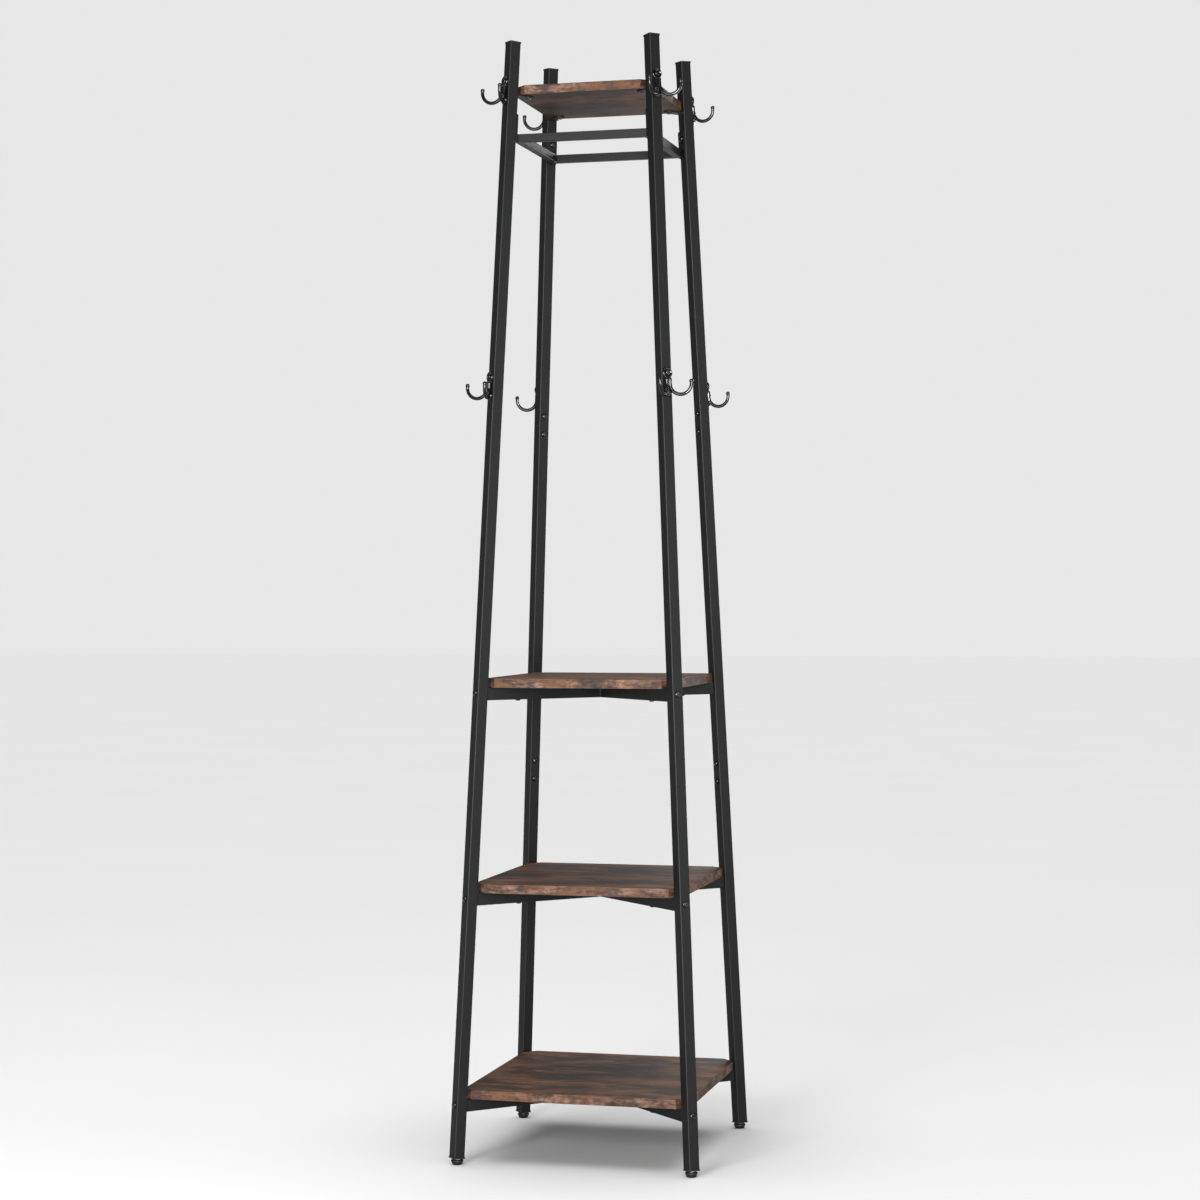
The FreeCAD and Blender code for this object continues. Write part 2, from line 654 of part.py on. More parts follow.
def make_shelf_tabs():
    """Flat tabs welded to the legs, which carry the top shelf."""
    body = new_body("top_shelf_tabs", group=True)
    face = inward_face(SHELF_TAB_TOP)
    turned = frame("0", "0", SHELF_TAB_TOP, "-45")
    strip = new_sketch(body, "strip", turned)
    straight = "(shelf_tab_long - tab_wide/2)"
    draw_rectangle(strip, straight, "tab_wide", "(%s - %s/2)" % (face, straight))
    strip_pad = pad(body, strip, "tab_thick", reverse=True)
    nose = new_sketch(body, "nose", turned)
    draw_circle(nose, "tab_wide/2", "%s - %s" % (face, straight))
    nose_pad = pad(body, nose, "tab_thick", reverse=True)
    hole = new_sketch(body, "hole", turned)
    draw_circle(hole, "screw_radius + screw_clear", "%s - shelf_tab_hole" % face)
    cut = pocket(body, hole, "2*tab_thick", middle=True)
    repeat_round(body, [strip_pad, nose_pad, cut], 4)


# Ring.

RING_HALF = "((%s - (tab_thick)/cos(%s) + ring_cut)/sqrt(2))" % (inward_face(RING_TOP), LEAN)


def make_ring_bar(side, yaw):
    """One bar of the ring, mitred at both ends, with its outer corners cut at the tabs."""
    body = new_body(side + "_ring_bar")
    bind(body, "Placement", frame("0", "0", "0", yaw))
    outline = new_sketch(body, "outline", flat(RING_LOW))
    inner = "(%s - ring_bar)" % RING_HALF
    draw_polygon(outline, (
        ("-%s" % RING_HALF, "-%s" % RING_HALF),
        (RING_HALF, "-%s" % RING_HALF),
        (inner, "-%s" % inner),
        ("-%s" % inner, "-%s" % inner),
    ))
    pad(body, outline, "ring_bar")
    inside = new_sketch(body, "inside", facing("0", RING_LOW + " + ring_bar/2"))
    hollow = "ring_bar - 2*ring_wall"
    draw_rectangle(inside, hollow, hollow, "ring_bar/2 - %s" % RING_HALF)
    pocket(body, inside, "2*foot_spread", middle=True)
    for leg in ("front_left", "front_right"):
        corner = new_sketch(body, leg + "_corner", leg_frame(leg, RING_TOP, roll="90"))
        draw_rectangle(corner, "tube_side", "4*ring_bar", "-tab_thick")
        pocket(body, corner, "2*tube_side", middle=True)


def make_ring_tabs():
    """Upright tabs welded to the ring's corners and bolted to the legs."""
    body = new_body("ring_tabs", group=True)
    plate = new_sketch(body, "plate", leg_frame("front_right", RING_LOW))
    draw_rectangle(plate, "tab_thick", "tab_wide", "-(tube_side + tab_thick)/2")
    solid = pad(body, plate, "ring_tab_long")
    plane = leg_frame("front_right", RING_BOLT_AT, "90 deg - %s" % LEAN)
    hole = drill(body, "bolt_hole", plane, "bolt_radius + bolt_clear", "tube_side", reverse=True)
    repeat_round(body, [solid, hole], 4)


# Hooks.

def arm_path(body, side, swing):
    """The centre line of an arm: down from the plate, round the bend and up."""
    sketch = new_sketch(body, side + "_path", upright("tube_side/2 + plate_thick/2", "0", swing))
    root, far = "arm_root", "arm_root + 2*arm_bend"
    middle = FreeCAD.Vector(number("arm_root + arm_bend"), number("bend_at"), 0)
    start = FreeCAD.Vector(number(root), number("arm_start"), 0)
    low = FreeCAD.Vector(number(root), number("bend_at"), 0)
    rise = FreeCAD.Vector(number(far), number("bend_at"), 0)
    end = FreeCAD.Vector(number(far), number("arm_tip"), 0)
    circle = Part.Circle(middle, FreeCAD.Vector(0, 0, 1), number("arm_bend"))
    sketch.addGeometry(Part.LineSegment(start, low))
    sketch.addGeometry(Part.ArcOfCircle(circle, radians(180.0), radians(360.0)))
    sketch.addGeometry(Part.LineSegment(rise, end))
    sketch.addConstraint(Sketcher.Constraint("Coincident", 0, 2, 1, 1))
    sketch.addConstraint(Sketcher.Constraint("Coincident", 1, 2, 2, 1))
    place_point(sketch, "start", 0, 1, root, "arm_start")
    place_point(sketch, "low", 0, 2, root, "bend_at")
    place_point(sketch, "middle", 1, 3, "arm_root + arm_bend", "bend_at")
    place_point(sketch, "end", 2, 2, far, "arm_tip")
    constrain(sketch, "rise", "bend_at", "DistanceY", -1, 1, 2, 1)
    return sketch


def make_arm(body, side, swing):
    """One round arm, bent along its path, with a ball on its end."""
    path = arm_path(body, side, swing)
    out = "(tube_side/2 + plate_thick/2 + arm_root*cos(arm_swing*1 deg))"
    across = "arm_root*sin(%s)" % swing
    section = new_sketch(body, side + "_section", frame(out, across, "arm_start"))
    draw_circle(section, "arm_radius")
    arm = body.newObject("PartDesign::AdditivePipe", side + "_arm")
    arm.Profile = section
    arm.Spine = path
    reach = "(arm_root + 2*arm_bend)"
    tip_out = "(tube_side/2 + plate_thick/2 + %s*cos(arm_swing*1 deg))" % reach
    for end, radius, x, y, z in (
        ("root", "arm_radius", out, across, "arm_start"),
        ("ball", "ball_radius", tip_out, "%s*sin(%s)" % (reach, swing), "arm_tip"),
    ):
        ball = body.newObject("PartDesign::AdditiveSphere", "%s_%s" % (side, end))
        ball.AttachmentSupport = [(origin_feature(body, "XY_Plane"), "")]
        ball.MapMode = "FlatFace"
        bind(ball, "AttachmentOffset", frame(x, y, z))
        bind(ball, "Radius", radius)


def make_hook(leg, level):
    """A double hook: a waisted plate on the leg's outward face and two arms."""
    body = new_body("%s_%s_hook" % (leg, level))
    bind(body, "Placement", leg_frame(leg, HOOK_LOWS[level]))
    plane = facing("tube_side/2", "0")
    for name, radius, height in (("disc", "disc_radius", "disc_at"), ("heel", "heel_radius", "heel_at")):
        lobe = new_sketch(body, name, plane)
        draw_circle(lobe, radius, "0", height)
        pad(body, lobe, "plate_thick")
        if name == "disc":
            waist = new_sketch(body, "waist", plane)
            draw_polygon(waist, (
                ("-lobe_across*heel_radius", "heel_at + lobe_along*heel_radius"),
                ("lobe_across*heel_radius", "heel_at + lobe_along*heel_radius"),
                ("waist_half", "waist_at"),
                ("lobe_across*disc_radius", "disc_at - lobe_along*disc_radius"),
                ("-lobe_across*disc_radius", "disc_at - lobe_along*disc_radius"),
                ("-waist_half", "waist_at"),
            ))
            pad(body, waist, "plate_thick")
    make_arm(body, "left", "-arm_swing*1 deg")
    make_arm(body, "right", "arm_swing*1 deg")
    for i, height in enumerate(("hook_screw_low", "disc_at")):
        plane = facing("0", height)
        drill(body, "screw_hole%d" % i, plane, "screw_radius + screw_clear", "2*tube_side")


# Fasteners.  A profile is drawn with the shank along the sketch's x, the head at x > 0
# and x = 0 where the head seats.

def bolt_outline(radius, head, dome, socket, deep, shank):
    """Half a round-headed bolt: its shank, a quarter ellipse for the head and its socket."""
    points = [("-(%s)" % shank, "0"), ("-(%s)" % shank, radius), ("0", radius)]
    for turn in [90 * i / DOME_STEPS for i in range(DOME_STEPS)]:
        points.append(("%s*sin(%d deg)" % (dome, turn), "%s*cos(%d deg)" % (head, turn)))
    bottom = "%s - %s" % (dome, deep)
    return points + [(dome, socket), (bottom, socket), (bottom, "0")]


def bolt(shank):
    return bolt_outline("bolt_radius", "bolt_head", "bolt_dome", "bolt_socket", "socket_deep", shank)


def screw(shank):
    return bolt_outline("screw_radius", "screw_head", "screw_dome", "screw_slot", "slot_deep", shank)


def seated(outline, seat, inward=False):
    """Move an outline so that its head seats at a distance from the leg's axis."""
    sign = "-" if inward else ""
    return [("%s(%s) %s (%s)" % (sign, x, "-" if inward else "+", seat), y) for x, y in outline]


def fastener_group(label, profiles):
    """Identical fasteners on every leg, each turned about the x of its own plane."""
    body = new_body(label, group=True)
    features = []
    for i, (plane, outline) in enumerate(profiles):
        features.append(revolve(body, "profile%d" % i, plane, outline, "H_Axis"))
    repeat_round(body, features, 4)


def across_leg(height):
    """A drawing plane along and up the front right leg, at a height on its axis."""
    return leg_frame("front_right", height, roll="90")


def make_leg_fasteners():
    joint = seated(bolt("short_bolt"), "tube_side/2", inward=True)
    heights = joint_bolt_heights("lower_seam") + joint_bolt_heights("upper_seam")
    fastener_group("leg_joint_bolts", [(across_leg(height), joint) for height in heights])
    long_shank = "tube_side + slug_long - bolt_spare"
    brace = seated(bolt(long_shank), "tube_side/2")
    fastener_group("brace_bolts", [(across_leg(brace_bolt_at(shelf)), brace) for shelf in SHELVES])
    ring = seated(bolt("short_bolt"), "tube_side/2 + tab_thick", inward=True)
    fastener_group("ring_bolts", [(across_leg(RING_BOLT_AT), ring)])
    hook = seated(screw("hook_screw_long"), "tube_side/2 + plate_thick")
    heights = hook_screw_heights("middle") + hook_screw_heights("top")
    fastener_group("hook_screws", [(across_leg(height), hook) for height in heights])


def make_shelf_screws():
    """Screws that come up through the braces or the tabs into the shelves."""
    long_screw = screw("brace_tall + screw_bite")
    profiles = []
    for shelf in SHELVES:
        seat = "(%s - brace_tall/2)" % brace_middle(shelf)
        plane = frame("screw_spread/2", "-screw_spread/2", seat, "0", "90", "0")
        profiles.append((plane, long_screw))
    fastener_group("shelf_screws", profiles)
    at = shelf_tab_screw()
    plane = frame(at, "-%s" % at, SHELF_TAB_TOP + " - tab_thick", "0", "90", "0")
    fastener_group("top_shelf_screws", [(plane, screw("tab_thick + screw_bite"))])


# The whole stand.

def make_stand():
    for leg in LEGS:
        make_lower_leg(leg)
        make_middle_leg(leg)
        make_upper_leg(leg)
        make_end_cap(leg)
        make_foot_plug(leg)
        make_foot_screw(leg)
        make_foot_pad(leg)
        make_hook(leg, "middle")
        make_hook(leg, "top")
    make_sleeves()
    for shelf in SHELVES:
        make_shelf(shelf, "screw_spread/2")
        make_long_bar(shelf)
        make_short_bars(shelf)
    make_slugs()
    make_shelf("top", shelf_tab_screw())
    make_shelf_tabs()
    for side, yaw in (("front", "0"), ("right", "90"), ("back", "180"), ("left", "270")):
        make_ring_bar(side, yaw)
    make_ring_tabs()
    make_leg_fasteners()
    make_shelf_screws()


def check_features():
    """Stop if a feature failed or if a cut removed nothing."""
    failed = [item.Label for item in document.Objects if {"Invalid", "Error"} & set(item.State)]
    if failed:
        raise RuntimeError("failed: " + ", ".join(failed))
    for item in document.Objects:
        if item.TypeId == "PartDesign::Pocket":
            before = item.BaseFeature.Shape.Volume
            if not item.Shape.Volume < before - LEAST_CUT:
                raise RuntimeError("%s cuts nothing" % item.Label)


def write_parts():
    """Check every body's shape, then write each to a file of its own name."""
    bodies = [item for item in document.Objects if item.TypeId == "PartDesign::Body"]
    for body in bodies:
        if body.Shape.isNull() or not body.Shape.isValid() or not body.Shape.Solids:
            raise RuntimeError(body.Label + " has no sound shape")
    os.makedirs("parts", exist_ok=True)
    for body in bodies:
        body.Shape.exportStep("parts/%s.step" % body.Label)
        volume = body.Shape.Volume / 1000.0
        print("%-28s %2d solids %8.2f cm3" % (body.Label, len(body.Shape.Solids), volume))
    print(len(bodies), "nodes")


fill_sheet()
make_stand()
document.recompute()
check_features()
write_parts()
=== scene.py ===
# %% [markdown]
# # Hall tree with hooks
#
# A hall tree stands by the front door. Four square steel legs lean in towards the top and
# carry wooden shelves, a square ring of bars and eight double coat hooks. The design comes
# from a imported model, which we call the frame. It fixes every size and every joint.
# Here we build the visible pieces round it with fine shapes and finishes.
#
# Two ways are open. We could paint the frame's own meshes, or model each piece again at the
# place the frame gives. The frame's meshes are sharp-edged and coarse where they are round,
# so every piece that shows is modelled again, and only the hidden steel inside stays.

# %% Load the frame
import math

import bmesh
import bpy
from mathutils import Matrix, Vector


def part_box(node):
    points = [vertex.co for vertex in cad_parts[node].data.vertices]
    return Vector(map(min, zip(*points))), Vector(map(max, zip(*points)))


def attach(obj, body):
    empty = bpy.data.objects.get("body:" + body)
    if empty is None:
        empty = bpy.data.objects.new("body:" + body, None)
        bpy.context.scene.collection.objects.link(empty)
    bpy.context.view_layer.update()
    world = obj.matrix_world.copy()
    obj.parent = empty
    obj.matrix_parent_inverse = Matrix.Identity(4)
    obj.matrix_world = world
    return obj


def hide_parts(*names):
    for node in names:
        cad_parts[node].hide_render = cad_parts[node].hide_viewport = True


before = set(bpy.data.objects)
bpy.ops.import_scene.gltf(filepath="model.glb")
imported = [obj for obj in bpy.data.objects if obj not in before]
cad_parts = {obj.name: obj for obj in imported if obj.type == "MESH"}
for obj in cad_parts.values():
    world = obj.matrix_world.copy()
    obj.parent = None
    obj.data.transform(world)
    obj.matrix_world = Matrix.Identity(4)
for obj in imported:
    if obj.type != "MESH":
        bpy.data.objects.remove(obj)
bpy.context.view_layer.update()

MM = 0.001
LEGS = ("front_left", "front_right", "back_left", "back_right")
TUBES = ("lower", "middle", "upper")
BOARDS = ("bottom", "lower", "upper", "top")
BRACED = BOARDS[:3]
LEVELS = ("middle", "top")
SIDES = ("front", "right", "back", "left")

# %% [markdown]
# ## Where things are
#
# Each leg leans towards the centre, so measuring along world axes is awkward. We could work
# the angles out by trigonometry. It is easier to let the frame tell us: the middle of a
# straight tube's box lies on the tube's own axis, so two tubes give the line of a leg.
# From that we make a place, a matrix with x pointing away from the centre, y along the
# leg's face and z up the tube. Everything fixed to a leg is measured and drawn in it.

# %% Places and measures
def middle_of(node):
    """The middle of a frame node's box."""
    low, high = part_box(node)
    return (low + high) / 2


def place_of(leg):
    """A leg's own axes, with the origin where its axis meets the floor."""
    low = middle_of(leg + "_lower_leg")
    high = middle_of(leg + "_upper_leg")
    up = (high - low).normalized()
    outward = Vector((low.x, low.y, 0)).normalized()
    along = up.cross(outward).normalized()
    out = along.cross(up)
    foot = low - up * (low.z / up.z)
    return Matrix((out, along, up)).transposed().to_4x4(), foot


PLACES = {}
for leg in LEGS:
    turn, foot = place_of(leg)
    PLACES[leg] = Matrix.Translation(foot) @ turn
LEAN = math.degrees(PLACES["front_left"].to_3x3().col[2].angle(Vector((0, 0, 1))))
print("the legs lean by", round(LEAN, 2), "degrees")


def corners(points):
    """The lowest and highest corner of some points."""
    low = Vector([min(p[i] for p in points) for i in range(3)])
    high = Vector([max(p[i] for p in points) for i in range(3)])
    return low, high


def corners_in(node, place):
    """The corners of a frame node's box, measured along the axes of a place."""
    back = place.inverted()
    return corners([back @ v.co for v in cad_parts[node].data.vertices])


def solids_of(node):
    """The separate solids of a frame node, each as a list of points."""
    shape = bmesh.new()
    shape.from_mesh(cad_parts[node].data)
    bmesh.ops.remove_doubles(shape, verts=shape.verts[:], dist=1e-6)
    waiting = set(shape.verts)
    solids = []
    while waiting:
        seen = [waiting.pop()]
        for vert in seen:
            near = [e.other_vert(vert) for e in vert.link_edges]
            fresh = [v for v in near if v in waiting]
            waiting.difference_update(fresh)
            seen.extend(fresh)
        solids.append([v.co.copy() for v in seen])
    shape.free()
    return solids


def leg_at(points):
    """The leg on whose side of the stand some points are."""
    middle = sum(points, Vector()) / len(points)
    depth = "front" if middle.y < 0 else "back"
    return depth + ("_left" if middle.x < 0 else "_right")


print("joint bolts:", len(solids_of("leg_joint_bolts")))

# %% [markdown]
# ## Shader arithmetic
#
# A material is a graph of nodes. Wiring one by hand takes many lines, and the meaning is
# lost in them. So one small class wraps a socket and teaches it Python's arithmetic: with
# it, `1 - dust * 0.5` adds its own Math nodes. Colours go through Mix nodes instead,
# because a Math node would turn them grey.

# %% A socket that does sums
class Wire:
    """An output socket in a finish, which can be added, subtracted and multiplied."""

    def __init__(self, finish, socket):
        self.finish = finish
        self.socket = socket

    def sums(self, operation, *values, clamp=False):
        settings = {"operation": operation, "use_clamp": clamp}
        return self.finish.node("ShaderNodeMath", settings, dict(enumerate(values)))

    def __add__(self, other):
        return self.sums("ADD", self, other)

    def __sub__(self, other):
        return self.sums("SUBTRACT", self, other)

    def __rsub__(self, other):
        return self.sums("SUBTRACT", other, self)

    def __mul__(self, other):
        return self.sums("MULTIPLY", self, other)

    def __abs__(self):
        return self.sums("ABSOLUTE", self)

    __radd__ = __add__
    __rmul__ = __mul__

    def between(self, low, high):
        """0 below low, 1 above high and a smooth step between them."""
        settings = {"interpolation_type": "SMOOTHSTEP"}
        sockets = {"Value": self, "From Min": low, "From Max": high}
        return self.finish.node("ShaderNodeMapRange", settings, sockets)


# %% A finish, with one method that adds any node
class Finish:
    """A material and the nodes that make it."""

    def __init__(self, name):
        self.material = bpy.data.materials.new(name)
        self.material.use_nodes = True
        self.tree = self.material.node_tree
        self.tree.nodes.clear()

    def node(self, kind, settings, sockets, output=0):
        """Add a node: first its settings, then the values or links of its sockets."""
        made = self.tree.nodes.new(kind)
        for key, value in settings.items():
            if key == "stops":
                self.set_stops(made.color_ramp, value)
            else:
                setattr(made, key, value)
        for key, value in sockets.items():
            if isinstance(value, Wire):
                self.tree.links.new(value.socket, made.inputs[key])
            else:
                made.inputs[key].default_value = value
        return Wire(self, made.outputs[output])

    def set_stops(self, ramp, stops):
        """Give a colour ramp its stops, as pairs of place and colour."""
        while len(ramp.elements) < len(stops):
            ramp.elements.new(0.5)
        for element, (place, colour) in zip(ramp.elements, stops):
            element.position = place
            element.color = (*colour, 1)

    def place(self, name="Object"):
        """The object's own coordinates, in metres."""
        return self.node("ShaderNodeTexCoord", {}, {}, name)

    def stretch(self, wire, scale, shift=(0, 0, 0)):
        """Stretch and shift coordinates before a pattern reads them."""
        sockets = {"Vector": wire, "Location": shift, "Scale": scale}
        return self.node("ShaderNodeMapping", {}, sockets)

    def noise(self, wire, scale, detail=2.0, rough=0.5, twist=0.0):
        """Soft random values from 0 to 1."""
        sockets = {"Vector": wire, "Scale": scale, "Detail": detail}
        sockets.update({"Roughness": rough, "Distortion": twist})
        return self.node("ShaderNodeTexNoise", {}, sockets)

    def mix(self, share, first, second, how="MIX"):
        """Blend two colours."""
        settings = {"data_type": "RGBA", "blend_type": how}
        return self.node("ShaderNodeMix", settings, {0: share, 6: first, 7: second}, 2)

    def ramp(self, wire, stops):
        return self.node("ShaderNodeValToRGB", {"stops": stops}, {"Fac": wire})

    def bump(self, height, depth, strength=1.0, under=None):
        """Turn heights into a bent normal. Depth is in metres."""
        sockets = {"Height": height, "Distance": depth, "Strength": strength}
        if under is not None:
            sockets["Normal"] = under
        return self.node("ShaderNodeBump", {}, sockets)

    def surface(self, **sockets):
        """The shader itself. An underscore in a socket's name stands for a space."""
        named = {key.replace("_", " "): value for key, value in sockets.items()}
        shader = self.node("ShaderNodeBsdfPrincipled", {}, named)
        end = self.tree.nodes.new("ShaderNodeOutputMaterial")
        self.tree.links.new(shader.socket, end.inputs["Surface"])
        return self.material


def grey(value):
    """A neutral colour as the four numbers that a socket takes."""
    return (value, value, value, 1)


def edge_of(finish):
    """1 on the middle of a rounded edge, 0 on the flats beside it."""
    settings = {"attribute_name": "edge"}
    return finish.node("ShaderNodeAttribute", settings, {}, "Fac")


print("shader helpers ready")

# %% [markdown]
# ## Powder-coated steel
#
# The tubes are sprayed with charcoal powder and baked. Powder melts into a skin like fine
# orange peel, satin rather than glossy, a little thinner and lighter where it pulls back
# from an edge. A flat dark colour would look like plastic, so the colour drifts slightly,
# two sizes of noise make the peel, and the rounded edges are rubbed paler and smoother.

# %% Powder coat
def powder_coat():
    finish = Finish("charcoal powder coat")
    at = finish.place()
    drift = finish.noise(at, 9.0, 3.0)
    speckle = finish.noise(at, 2600.0, 2.0, 0.6)
    peel = finish.noise(at, 620.0, 3.0, 0.55)
    rubbed = edge_of(finish) * finish.noise(at, 140.0, 4.0, 0.65).between(0.38, 0.62)
    skin = finish.mix(drift, (0.0044, 0.0046, 0.0050, 1), (0.0074, 0.0077, 0.0083, 1))
    grain = finish.mix(speckle.between(0.56, 0.72) * 0.3, skin, grey(0.018))
    colour = finish.mix(rubbed * 0.6, grain, (0.048, 0.049, 0.052, 1))
    gloss = 0.4 + 0.1 * drift + 0.1 * peel - rubbed * 0.1
    coarse = finish.bump(peel, 0.09 * MM, 0.55)
    fine = finish.bump(speckle, 0.03 * MM, 0.5, coarse)
    return finish.surface(
        Base_Color=colour, Roughness=gloss, Normal=fine, Specular_IOR_Level=0.13)


POWDER = powder_coat()
print("made", POWDER.name)

# %% [markdown]
# ## Gloss black, for hooks and bolt heads
#
# The hooks are cast metal dipped in gloss black. What shows is mostly the reflection, so
# the colour is close to black and a clear coat carries the highlights. Cast metal isn't
# perfectly smooth under the gloss: a slow, shallow noise makes the highlights waver. Small
# pinholes and dust keep it from looking like glass.

# %% Gloss black
def gloss_black(name, roughness, waver):
    finish = Finish(name)
    at = finish.place()
    slow = finish.noise(at, 160.0, 2.0, 0.5)
    dust = finish.noise(at, 1500.0, 3.0, 0.7)
    colour = finish.mix(slow, (0.0025, 0.0025, 0.0028, 1), (0.0055, 0.0055, 0.0058, 1))
    dusty = finish.mix(dust.between(0.62, 0.78) * 0.25, colour, grey(0.03))
    gloss = roughness + 0.1 * slow + 0.08 * dust
    cast = finish.bump(slow, waver * MM, 0.5)
    pits = finish.bump(dust, 0.004 * MM, 0.4, cast)
    return finish.surface(
        Base_Color=dusty, Roughness=gloss, Normal=pits,
        Coat_Weight=0.12, Coat_Roughness=0.06, Specular_IOR_Level=0.2)


HOOK_GLOSS = gloss_black("gloss black casting", 0.12, 0.05)
BOLT_GLOSS = gloss_black("black oxide bolt", 0.18, 0.02)
print("made", HOOK_GLOSS.name, "and", BOLT_GLOSS.name)

# %% [markdown]
# ## Moulded plastic
#
# End caps, foot plugs and floor pads come out of a spark-textured mould. The texture is
# fine and even, and the parting edges are slightly shiny from handling. Noise alone gives
# soft lumps, so cells from a Voronoi pattern are added for the crisp spark marks.

# %% Plastic
def moulded_plastic():
    finish = Finish("moulded black plastic")
    at = finish.place()
    cloud = finish.noise(at, 45.0, 3.0)
    spark = finish.node("ShaderNodeTexVoronoi", {}, {"Vector": at, "Scale": 1900.0})
    worn = edge_of(finish) * 0.5
    colour = finish.mix(cloud, (0.0055, 0.0055, 0.006, 1), (0.0105, 0.0105, 0.011, 1))
    paler = finish.mix(worn, colour, grey(0.035))
    gloss = 0.38 + 0.16 * cloud + 0.1 * spark - worn * 0.15
    marks = finish.bump(spark, 0.03 * MM, 0.5)
    return finish.surface(
        Base_Color=paler, Roughness=gloss, Normal=marks, Specular_IOR_Level=0.2)


PLASTIC = moulded_plastic()
print("made", PLASTIC.name)

# %% [markdown]
# ## Zinc-plated steel
#
# The sleeves and slugs inside the tubes, and the levelling screws, are plain steel with a
# thin zinc plating: metallic, slightly yellow and cloudy, with drawn lines along the bar.

# %% Zinc plate
def zinc_plate():
    finish = Finish("zinc plated steel")
    at = finish.place()
    cloud = finish.noise(at, 120.0, 4.0, 0.6)
    drawn = finish.noise(finish.stretch(at, (900, 900, 60)), 1.0, 3.0)
    colour = finish.mix(cloud, (0.42, 0.41, 0.38, 1), (0.66, 0.66, 0.64, 1))
    gloss = 0.24 + 0.18 * cloud + 0.1 * drawn
    lines = finish.bump(drawn, 0.01 * MM, 0.4)
    return finish.surface(Base_Color=colour, Roughness=gloss, Metallic=1.0, Normal=lines)


ZINC = zinc_plate()
print("made", ZINC.name)

# %% [markdown]
# ## Rustic board
#
# The shelves are particle board with a printed wood skin. The print has soft amber and
# brown bands that bend a little, smoky patches, fine dark fibres, specks, and scribbled
# cracks in some places. The edge band carries the same print, paler and more mottled. The
# underside carries the skin print darkened, as painted shade for the shadow under each board.
# One noise can't hold all of that, so each feature is its own pattern, and the colours are
# laid over each other from the widest to the finest. The scribbles are a trick worth
# keeping: where a noise passes through its middle value it draws a thin winding line.
# The pattern reads a map that each board carries, with u along the grain, so it turns the
# corner onto the edge band and runs along every edge.

# %% Grain patterns
def bent_map(finish):
    """A board's own map, in metres along and across the grain, gently bent."""
    at = finish.node("ShaderNodeUVMap", {"uv_map": "grain"}, {})
    bend = finish.noise(finish.stretch(at, (5.0, 9.0, 1)), 1.0, 3.0, 0.5, 0.5)
    push = finish.node("ShaderNodeCombineXYZ", {}, {"Y": bend * 0.035})
    return finish.node("ShaderNodeVectorMath", {"operation": "ADD"}, {0: at, 1: push})


def pattern(finish, at, scale, shift, detail=4.0, rough=0.55):
    """Noise that is stretched and shifted over a board's map."""
    return finish.noise(finish.stretch(at, (*scale, 1), (*shift, 0)), 1.0, detail, rough)


def scribbles(finish, at, scale, width):
    """Thin winding lines where a noise passes through its middle value."""
    field = pattern(finish, at, scale, (2.3, 5.1), 3.0, 0.6)
    line = 1 - abs(field - 0.5).between(0, width)
    where = pattern(finish, at, (14.0, 18.0), (8.8, 1.7), 2.0)
    return line * where.between(0.52, 0.62)


print("grain patterns ready")


# %% Board finish
def rustic_board(name, grain, wood, smoke, amber, sheen):
    """Wood bands, amber and smoky patches, fibres, specks and scribbled cracks."""
    finish = Finish(name)
    at = bent_map(finish)
    bands = pattern(finish, at, grain["bands"], (0, 0), 6.0, 0.6)
    streaks = pattern(finish, at, grain["streaks"], (4.2, 1.1), 4.0, 0.6)
    fibres = pattern(finish, at, grain["fibres"], (1.9, 3.3), 3.0, 0.55)
    warm = pattern(finish, at, grain["warm"], (7.1, 2.6), 4.0, 0.55)
    cloud = pattern(finish, at, grain["smoke"], (3.1, 7.7), 5.0, 0.62)
    speck = pattern(finish, at, grain["specks"], (5.5, 0.4), 3.0, 0.65)
    mottle = pattern(finish, at, grain["mottle"], (6.6, 9.2), 6.0, 0.7)
    body = finish.ramp(bands * 0.5 + streaks * 0.2 + mottle * 0.3, wood)
    warmer = finish.mix(warm.between(0.46, 0.62) * 0.8, body, amber)
    lined = finish.mix(fibres.between(0.5, 0.7) * 0.5, warmer, (0.020, 0.012, 0.008, 1))
    smoky = finish.mix(cloud.between(0.5, 0.64) * 0.85, lined, smoke)
    dotted = finish.mix(speck.between(0.6, 0.7) * 0.6, smoky, (0.012, 0.008, 0.006, 1))
    crack = scribbles(finish, at, grain["cracks"], 0.02)
    colour = finish.mix(crack * 0.7, dotted, (0.010, 0.007, 0.006, 1))
    gloss = sheen + 0.12 * fibres + 0.14 * cloud - 0.05 * bands
    pressed = finish.bump(streaks - fibres * 0.6, 0.1 * MM, 0.5)
    cracked = finish.bump(1 - crack, 0.12 * MM, 0.6, pressed)
    return finish.surface(
        Base_Color=colour, Roughness=gloss, Normal=cracked, Specular_IOR_Level=0.12)


SKIN_GRAIN = {
    "bands": (6.0, 20.0), "streaks": (9.0, 160.0), "fibres": (24.0, 850.0), "warm": (5.0, 13.0),
    "mottle": (34.0, 90.0), "smoke": (7.0, 17.0), "specks": (130.0, 700.0), "cracks": (26.0, 60.0),
}
EDGE_GRAIN = {
    "bands": (20.0, 60.0), "streaks": (26.0, 260.0), "fibres": (60.0, 900.0), "warm": (12.0, 30.0),
    "mottle": (110.0, 170.0), "smoke": (28.0, 60.0), "specks": (420.0, 800.0), "cracks": (90.0, 120.0),
}
SKIN_WOOD = (
    (0.42, (0.007, 0.004, 0.003)),
    (0.475, (0.034, 0.015, 0.008)),
    (0.52, (0.100, 0.041, 0.017)),
    (0.57, (0.235, 0.100, 0.040)),
)
EDGE_WOOD = (
    (0.42, (0.014, 0.008, 0.006)),
    (0.475, (0.072, 0.032, 0.017)),
    (0.52, (0.150, 0.070, 0.040)),
    (0.57, (0.290, 0.165, 0.110)),
)
